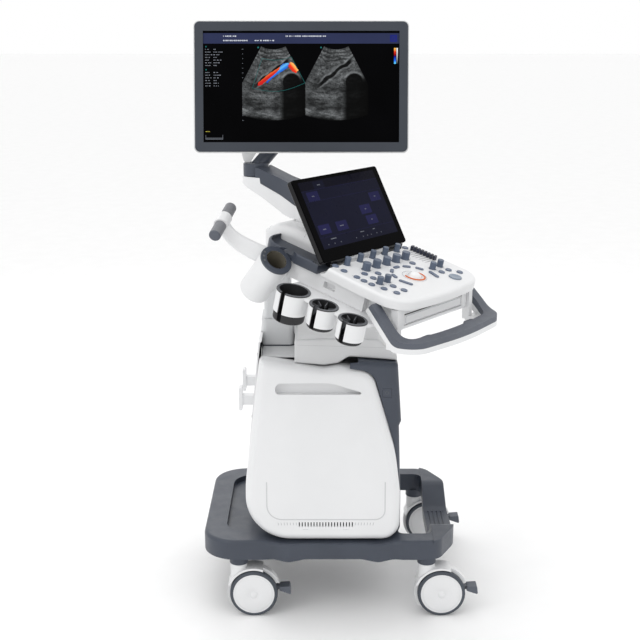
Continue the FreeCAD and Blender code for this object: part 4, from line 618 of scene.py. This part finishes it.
def flow(name, centre, angle, outline, material):
    """Coloured patch with ragged edges, in its own turned frame so that its colours run across it."""
    rough = []
    for i, (x, y) in enumerate(outline):
        nx, ny = outline[(i + 1) % len(outline)]
        for step in range(4):
            t = step / 4
            wave = 0.9 * math.sin(9.1 * (i + t)) + 0.6 * math.sin(23.0 * (i + t))
            rough.append((x + (nx - x) * t + wave * 0.5, y + (ny - y) * t + wave * 0.6))
    plates(name, [rough], screen_face @ shift(*centre, 0.13) @ turn("Z", angle), 0.10, material, "monitor")


flow("flow_vessel_blue", on_screen(0.3575, 0.386), 33,
     [(-24, -11), (-18, -8), (0, -7), (18, -6), (36, -6), (46, -2), (44, 4), (34, 8), (24, 6), (18, 1),
      (2, -2), (-14, -4), (-25, -7)], FLOW_BLUE)
flow("flow_vessel_red", on_screen(0.3575, 0.386), 33,
     [(-47, -3), (-38, -6), (-26, -5), (-10, -3), (6, -1), (20, 2), (25, 6), (10, 6), (-8, 6),
      (-28, 4), (-42, 3)], FLOW_RED)
flow("flow_vessel_end", on_screen(0.457, 0.325), -50,
     [(-12, -7), (6, -7), (15, -4), (14, 6), (-6, 8), (-13, 4)], FLOW_HOT)
plates("colour_scale", [rectangle(0, 0, 5.0, 38)], screen_face @ shift(*on_screen(0.9775, 0.223), 0), 0.12,
       SCALE_BAR, "monitor")
plates("grey_scale", [rectangle(0, 0, 3.4, 38)], screen_face @ shift(*on_screen(0.9885, 0.223), 0), 0.12,
       GREY_BAR, "monitor")
plates("header_icon", [rectangle(*on_screen(0.970, 0.067), 17, 17, 1.5)], screen_face, 0.18, ICON_BLUE,
       "monitor")
plates("header_icon_mark", ring_band(*on_screen(0.970, 0.067), 3.6, 4.8, steps=24), screen_face, 0.24, HEADER,
       "monitor")

# ---- touch screen ----------------------------------------------------------------------------------------

ACTIVE_WIDE, ACTIVE_TALL, ACTIVE_LOW = 294.0, 165.0, 30.0


def on_touch(u, v):
    """Place on the touch screen from fractions of its active width and height, from the lower left."""
    return (u - 0.5) * ACTIVE_WIDE, ACTIVE_LOW + v * ACTIVE_TALL


plates("touch_picture", [rectangle(0, ACTIVE_LOW + 0.435 * ACTIVE_TALL, ACTIVE_WIDE, 0.87 * ACTIVE_TALL)],
       touch_face, 0.10, TOUCH_NAVY, "touch_screen")
plates("touch_band", [rectangle(0, ACTIVE_LOW + 0.935 * ACTIVE_TALL, ACTIVE_WIDE, 0.13 * ACTIVE_TALL)],
       touch_face, 0.10, TOUCH_TOP, "touch_screen")
plates("touch_tab", [rectangle(*on_touch(0.24, 0.925), 40, 19, 1.5)], touch_face, 0.16, TOUCH_NAVY,
       "touch_screen")
keys = [rectangle(*on_touch(u, v), 42, 23, 1.5) for u, v in ((0.12, 0.775), (0.885, 0.60), (0.70, 0.44),
                                                            (0.73, 0.27), (0.10, 0.28), (0.325, 0.28))]
plates("touch_keys", keys, touch_face, 0.18, TOUCH_KEY, "touch_screen")
rules = [rectangle(*on_touch(0.5, v), ACTIVE_WIDE, 0.5) for v in (0.865, 0.70, 0.165)]
plates("touch_rules", rules, touch_face, 0.15, TOUCH_KEY, "touch_screen")
touch_marks = []
for u, v, wide in ((0.12, 0.775, 6), (0.885, 0.60, 4), (0.70, 0.44, 4), (0.73, 0.27, 4), (0.10, 0.28, 10),
                   (0.325, 0.28, 14), (0.24, 0.925, 9), (0.16, 0.125, 18), (0.54, 0.125, 12),
                   (0.70, 0.125, 6)):
    x, y = on_touch(u, v)
    for i in range(int(wide / 3) + 1):
        touch_marks.append(rectangle(x - wide / 2 + 3 * i, y, 1.9, 2.2))
for u in (0.075, 0.155, 0.235, 0.44, 0.53, 0.59, 0.64, 0.72, 0.78):
    touch_marks.append(rectangle(*on_touch(u, 0.055), 2.2, 2.2, 0.9))
plates("touch_marks", touch_marks, touch_face, 0.22, DIM_INK, "touch_screen")

# ---- control panel ---------------------------------------------------------------------------------------

SLIM_KNOBS = [(-104 + 50 * i, 121) for i in range(5)]
LARGE_KNOBS = [(-84, 80), (-44, 80), (-4, 80), (35, 80), (74, 80)]
SMALL_KNOBS = [(87, 8), (120, 9), (-123, 12), (-95, 11)]
KNOB_ROWS = (("rear", SLIM_KNOBS, 7.2, "knobs_rear_row"), ("front", LARGE_KNOBS, 9.8, "knobs_front_row"),
             ("small", SMALL_KNOBS, 7.6, "knobs_small"))


def arc_tube(name, radius, thick, start, end, lift, material, body):
    """Round line along an arc about the trackball, on the control panel."""
    line = [Vector((x, y, lift)) * MM for x, y in arc(0, 0, radius, start, end, 48)]
    return tube(name, [line], thick, material, body, panel)


# orange ring round the trackball, brightened by a weak painted glow
arc_tube("trackball_ring", 24.4, 2.3, -205, 25, 0.9, ORANGE, "console")
lathe("trackball_collar", [(19.6, -3), (20.0, 0.9), (21.0, 1.5), (25.6, 0.9), (27.6, 0.25), (28.2, -1.5)],
      panel, WHITE, "console", close=True)
lathe("trackball_seam", [(29.0, -0.4), (29.0, 0.12), (29.7, 0.12), (29.7, -0.4)], panel, SEAM, "console",
      close=True)


WELL_LOW, WELL_HIGH = -4.6 * MM, -3.6 * MM


def well_face(centre, normal):
    """Slot of a control panel face: painted shade on the floors of its pockets, white elsewhere."""
    place = panel.inverted() @ centre
    return 1 if WELL_LOW < place.z < WELL_HIGH and normal.dot(panel_up) > 0.9 else 0


# the floors of the knob wells and slider slots get painted shade
dress("control_panel", [WHITE, GAP_SHADE], well_face)
BUTTONS = [(-140, 127), (-145, 98), (-111, 64), (-76, 51), (-146, 60), (-112, 38), (-148, 38),
           (-148, 16), (-140, -13), (-106, -14), (-131, -42), (-101, -41), (137, 124), (66, 52),
           (90, -17), (120, -17), (136, -39)]
legends = []
for x, y in BUTTONS:
    legends.append(rectangle(x, y + 10.6, 5.0, 0.9))
    legends.append(rectangle(x - 0.8, y + 12.4, 3.2, 0.9))
for _, places, radius, _ in KNOB_ROWS:
    for x, y in places:
        legends.append(rectangle(x, y - radius - 4.6, 5.4, 0.9))
plates("panel_legends", legends, panel, 0.06, PRINT_AND_GROOVE_SHADE, "console")
for label, places, radius, body in KNOB_ROWS:
    pointers = [rectangle(x, y + radius * 0.45, 0.9, radius * 0.55) for x, y in places]
    top = max((panel.inverted() @ v.co).z for v in nodes[body].data.vertices)
    plates("knob_pointers_" + label, pointers, panel @ Matrix.Translation((0, 0, top)), 0.15, PALE_KEY, body)

# ---- seams, gaps and small fittings ----------------------------------------------------------------------

VENT_FIRST, VENT_PITCH, VENT_COUNT = 82.0, 7.2, 19
for side, label in ((-1, "left"), (1, "right")):
    node = "side_cover_" + label
    inward = Vector((-side, 0, 0))
    outline = [(161, z) for z in range(349, 292, -6)] + arc(124, 290, 37, 0, -90, 12)
    outline += [(y, 253) for y in range(116, -100, -6)] + arc(-103, 277, 24, -90, -180, 10)
    outline += [(-127, z) for z in range(283, 350, 6)]
    line = drape(node, [Vector((side * 400, y, z)) * MM for y, z in outline], inward, 1.2)
    tube("cover_line_" + label, [line], 1.9, EMBOSS, "base")
    faint = []
    last = VENT_FIRST - VENT_PITCH * (VENT_COUNT - 1)
    for step in range(1, 8):
        for y, lean in ((VENT_FIRST + VENT_PITCH * step, 0.25 * step),
                        (last - VENT_PITCH * step, -0.25 * step)):
            ends = [Vector((side * 400, y + lean * t, 238 + 7 * t)) * MM for t in (0.0, 0.5, 1.0)]
            faint.append(drape(node, ends, inward, 0.3))
    tube("faint_vents_" + label, [mark for mark in faint if len(mark) > 1], 0.75, GROOVE, "base")
    dots = []
    for y_start in (61, -38):
        for step in range(4):
            ends = [Vector((side * 400, y_start + 3.4 * step + dy, 227)) * MM for dy in (0.0, 1.8)]
            dots.append(drape(node, ends, inward, 0.25))
    tube("cover_marks_" + label, [mark for mark in dots if len(mark) > 1], 0.5, PRINT_AND_GROOVE_SHADE, "base")
    seam = [Vector((side * 400, y, 672 + 0.03 * (y + 150))) * MM for y in range(-148, 88, 6)]
    tube("shroud_seam_" + label, [drape("top_shroud", seam, inward, 0.2)], 0.45, GROOVE, "base")
gasket = [(x, y, 645.2) for x, y in rectangle(0, 137, 115.5, 83.5, 14)]
tube("column_gasket", [[Vector(point) * MM for point in gasket]], 1.8, DEEP, "base", cyclic=True)
bolts = [(-120, 640), (120, 640), (-120, 480), (120, 480), (-120, 320), (120, 320)]
for i, (x, z) in enumerate(bolts):
    hit, normal = surface_point("rear_cover", Vector((x, 500, z)) * MM, (0, -1, 0))
    if hit is None:
        continue
    place = Matrix.Translation(hit) @ normal.to_track_quat("Z", "Y").to_matrix().to_4x4()
    lathe(f"rear_screw_{i + 1}", [(0, 0.6), (1.6, 0.6), (2.0, 1.5), (3.4, 1.4), (4.2, 0.6), (4.3, -0.6)],
          place, STEEL, "base", steps=24)

# caster hubs
HUB_SLOPE = 4.5 / 51
hub_profile = [(r, lift - HUB_SLOPE * r)
               for r, lift in ((0, 1.3), (8, 1.3), (9, 0.4), (10.5, 0.4), (11.5, 1.1), (28, 1.1), (43, 0.9),
                               (46.5, 0.5), (47.2, -0.8))]
for corner in CORNERS:
    side = -1 if "left" in corner else 1
    end = 1 if "rear" in corner else -1
    box_low, box_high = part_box("caster_wheels_" + corner)
    for face in (-1, 1):
        x = box_low[0] if face < 0 else box_high[0]
        centre = Vector((x, (end * AXLE_END + BASE_MIDDLE) * MM, AXLE_HIGH * MM))
        place = Matrix.Translation(centre) @ turn("Y", 90 * face)
        lathe(f"hub_cover_{corner}_{'outer' if face * side > 0 else 'inner'}", hub_profile, place, WHITE,
              "wheels_" + corner)


FIN_BEARINGS = (204, 228, 252, 276, 302, 20, 65, 110, 150)


def cup_fins(name, x, y, bore):
    """Soft fins in the mouth of a probe cup, standing inwards from its wall."""
    grown = bmesh.new()
    for degrees in FIN_BEARINGS:
        out = Vector((math.cos(math.radians(degrees)), math.sin(math.radians(degrees)), 0))
        across = Vector((-out.y, out.x, 0)) * 0.9
        outline = [(bore + 0.6, -67), (bore * 0.42, -71), (bore * 0.55, -82), (bore + 0.6, -96)]
        sides = [[grown.verts.new((Vector((x, y, z)) + out * r + across * way) * MM) for r, z in outline]
                 for way in (-1, 1)]
        grown.faces.new(sides[0])
        grown.faces.new(list(reversed(sides[1])))
        for i in range(4):
            j = (i + 1) % 4
            grown.faces.new((sides[0][i], sides[1][i], sides[1][j], sides[0][j]))
    return add_grown(name, grown, RIM_GREY, "console", panel, smooth=False)


cup_fins("cup_fins_middle", -215, 84.9, 27.6)
cup_fins("cup_fins_front", -215, 1.5, 27.1)

# keyboard drawer: painted shade as a dark line in the open gap above its front, and a thin dark line of
# painted shade along the groove round the front
tube("drawer_gap", [[Vector((x, -455.3, 804.4)) * MM for x in (-119, 119)]], 1.1, GAP_SHADE, "console",
     console)
front = [Vector((x, -455.3, z)) * MM for x, z in rectangle(0, 791.2, 230, 17, 5)]
tube("drawer_groove", [front], 0.5, PRINT_AND_GROOVE_SHADE, "keyboard_drawer", console, cyclic=True)

# gel warmer keypad
flat = Vector((0, 0, 1)).cross(warmer_axis).normalized()
rise = warmer_axis.cross(flat)
warmer = Matrix((flat, rise, warmer_axis)).transposed().to_4x4()
warmer.translation = warmer_mouth
outward = Vector((0, 1, 0))
bearing = math.degrees(math.atan2(outward.dot(rise), outward.dot(flat)))
plates("warmer_keypad", ring_band(0, 0, 28.2, 36.8, bearing - 36, bearing + 36, 24), warmer, 0.35, DEEP,
       "console")
for i in range(3):
    middle = bearing - 22 + 22 * i
    x, y = 32.5 * math.cos(math.radians(middle)), 32.5 * math.sin(math.radians(middle))
    plates(f"warmer_key_{i + 1}", [arc(x, y, 2.6, 0, 345, 15)], warmer, 0.9, RIM_GREY, "console")

# seams of the dome and the post
seam_lines = []
for y in (-40, -150):
    points = [console @ (Vector((x, y, 1100)) * MM) for x in range(-98, 99, 4)]
    seam_lines.append(drape("console_rear_cover", points, (0, 0, -1), 0.15))
tube("dome_seams", [line for line in seam_lines if len(line) > 4], 0.45, SEAM, "console")

# pale cover on the rear of the monitor's neck
ARM_TURN, ARM_LENGTH = math.radians(54.5), 166
reach = Vector((math.cos(ARM_TURN), math.sin(ARM_TURN), 0)) * ARM_LENGTH * MM
hub = (console @ (Vector((0, -92, 0)) * MM)) + reach
neck_place = Matrix.Translation(hub - Vector((1.3, 0, 0)) * MM) @ facing_right
neck_side = [(35, 1121), (-6, 1121), (4, 1106), (12, 1093), (16, 1090.4), (25, 1090.4), (30, 1094),
             (34, 1108)]
plates("neck_cover", [neck_side], neck_place, 17, WHITE, "monitor_link")

# power button mark
button_face = shift(-201, -130, 566) @ facing_left
plates("power_mark", ring_band(0, 0, 3.6, 4.4, 120, 420, 30) + [rectangle(0, 4.0, 0.9, 3.6)], button_face,
       0.12, RIM_GREY, "power_button")

# rocker switch beside the inlet
rocker = [(204.6, 259.5), (211.5, 259.5), (208.8, 273), (213.2, 286.5), (204.6, 286.5)]
plates("mains_switch", [rocker], shift(9.5, 0, 0) @ facing_right, 23, BLACK, "base")

# screws on the display's back
for i, (x, z) in enumerate(((-132, 78), (132, 78), (-132, -78), (132, -78))):
    lathe(f"display_screw_{i + 1}", [(0, 0.4), (1.5, 0.4), (1.9, 1.3), (3.0, 1.2), (3.6, 0.5), (3.7, -0.6)],
          monitor @ shift(x, 52, z) @ turn("X", -90), STEEL, "monitor", steps=24)

# ---- surroundings ----------------------------------------------------------------------------------------


def make_floor():
    """Plain pale floor."""
    mesh = bpy.data.meshes.new("floor")
    reach = 30.0
    mesh.from_pydata([(-reach, -reach, 0), (reach, -reach, 0), (reach, reach, 0), (-reach, reach, 0)], [],
                     [(0, 1, 2, 3)])
    floor = bpy.data.objects.new("floor", mesh)
    bpy.context.scene.collection.objects.link(floor)
    floor.data.materials.append(finish_of("pale_floor", (0.965, 0.965, 0.965), 0.55, grain=60, depth=0.02,
                                          tint=0.01))


def make_light(name, place, aim, wide, power):
    """Soft round area light aimed at a point."""
    data = bpy.data.lights.new(name, "AREA")
    data.shape = "DISK"
    data.size = wide
    data.energy = power
    lamp = bpy.data.objects.new(name, data)
    bpy.context.scene.collection.objects.link(lamp)
    lamp.location = place
    lamp.rotation_euler = (Vector(aim) - Vector(place)).to_track_quat("-Z", "Y").to_euler()


make_floor()
make_light("key", (-2.6, 2.6, 3.4), (0, 0, 0.8), 2.2, 22)
make_light("fill", (-2.8, -2.6, 2.4), (0, 0, 0.8), 2.6, 4)
make_light("top", (0.2, 0.2, 3.6), (0, 0, 0.6), 2.4, 12)
make_light("rim", (2.8, 0.8, 2.4), (0, 0, 0.8), 2.0, 9)
world = bpy.data.worlds.new("studio")
bpy.context.scene.world = world
world.use_nodes = True
world.node_tree.nodes["Background"].inputs["Color"].default_value = (1.0, 1.0, 1.0, 1)
world.node_tree.nodes["Background"].inputs["Strength"].default_value = 1.0

EYE_PLACE, EYE_DOWN, EYE_TURN, FOCAL_LENGTH = (-3.1083, 0.0314, 1.4972), 14.458, -90, 71.24
lens = bpy.data.cameras.new("camera")
lens.lens = FOCAL_LENGTH
lens.sensor_width = 36
eye = bpy.data.objects.new("camera", lens)
bpy.context.scene.collection.objects.link(eye)
eye.location = EYE_PLACE
eye.rotation_euler = (math.radians(90 - EYE_DOWN), 0, math.radians(EYE_TURN))
bpy.context.scene.camera = eye
bpy.context.scene.view_settings.view_transform = "Standard"
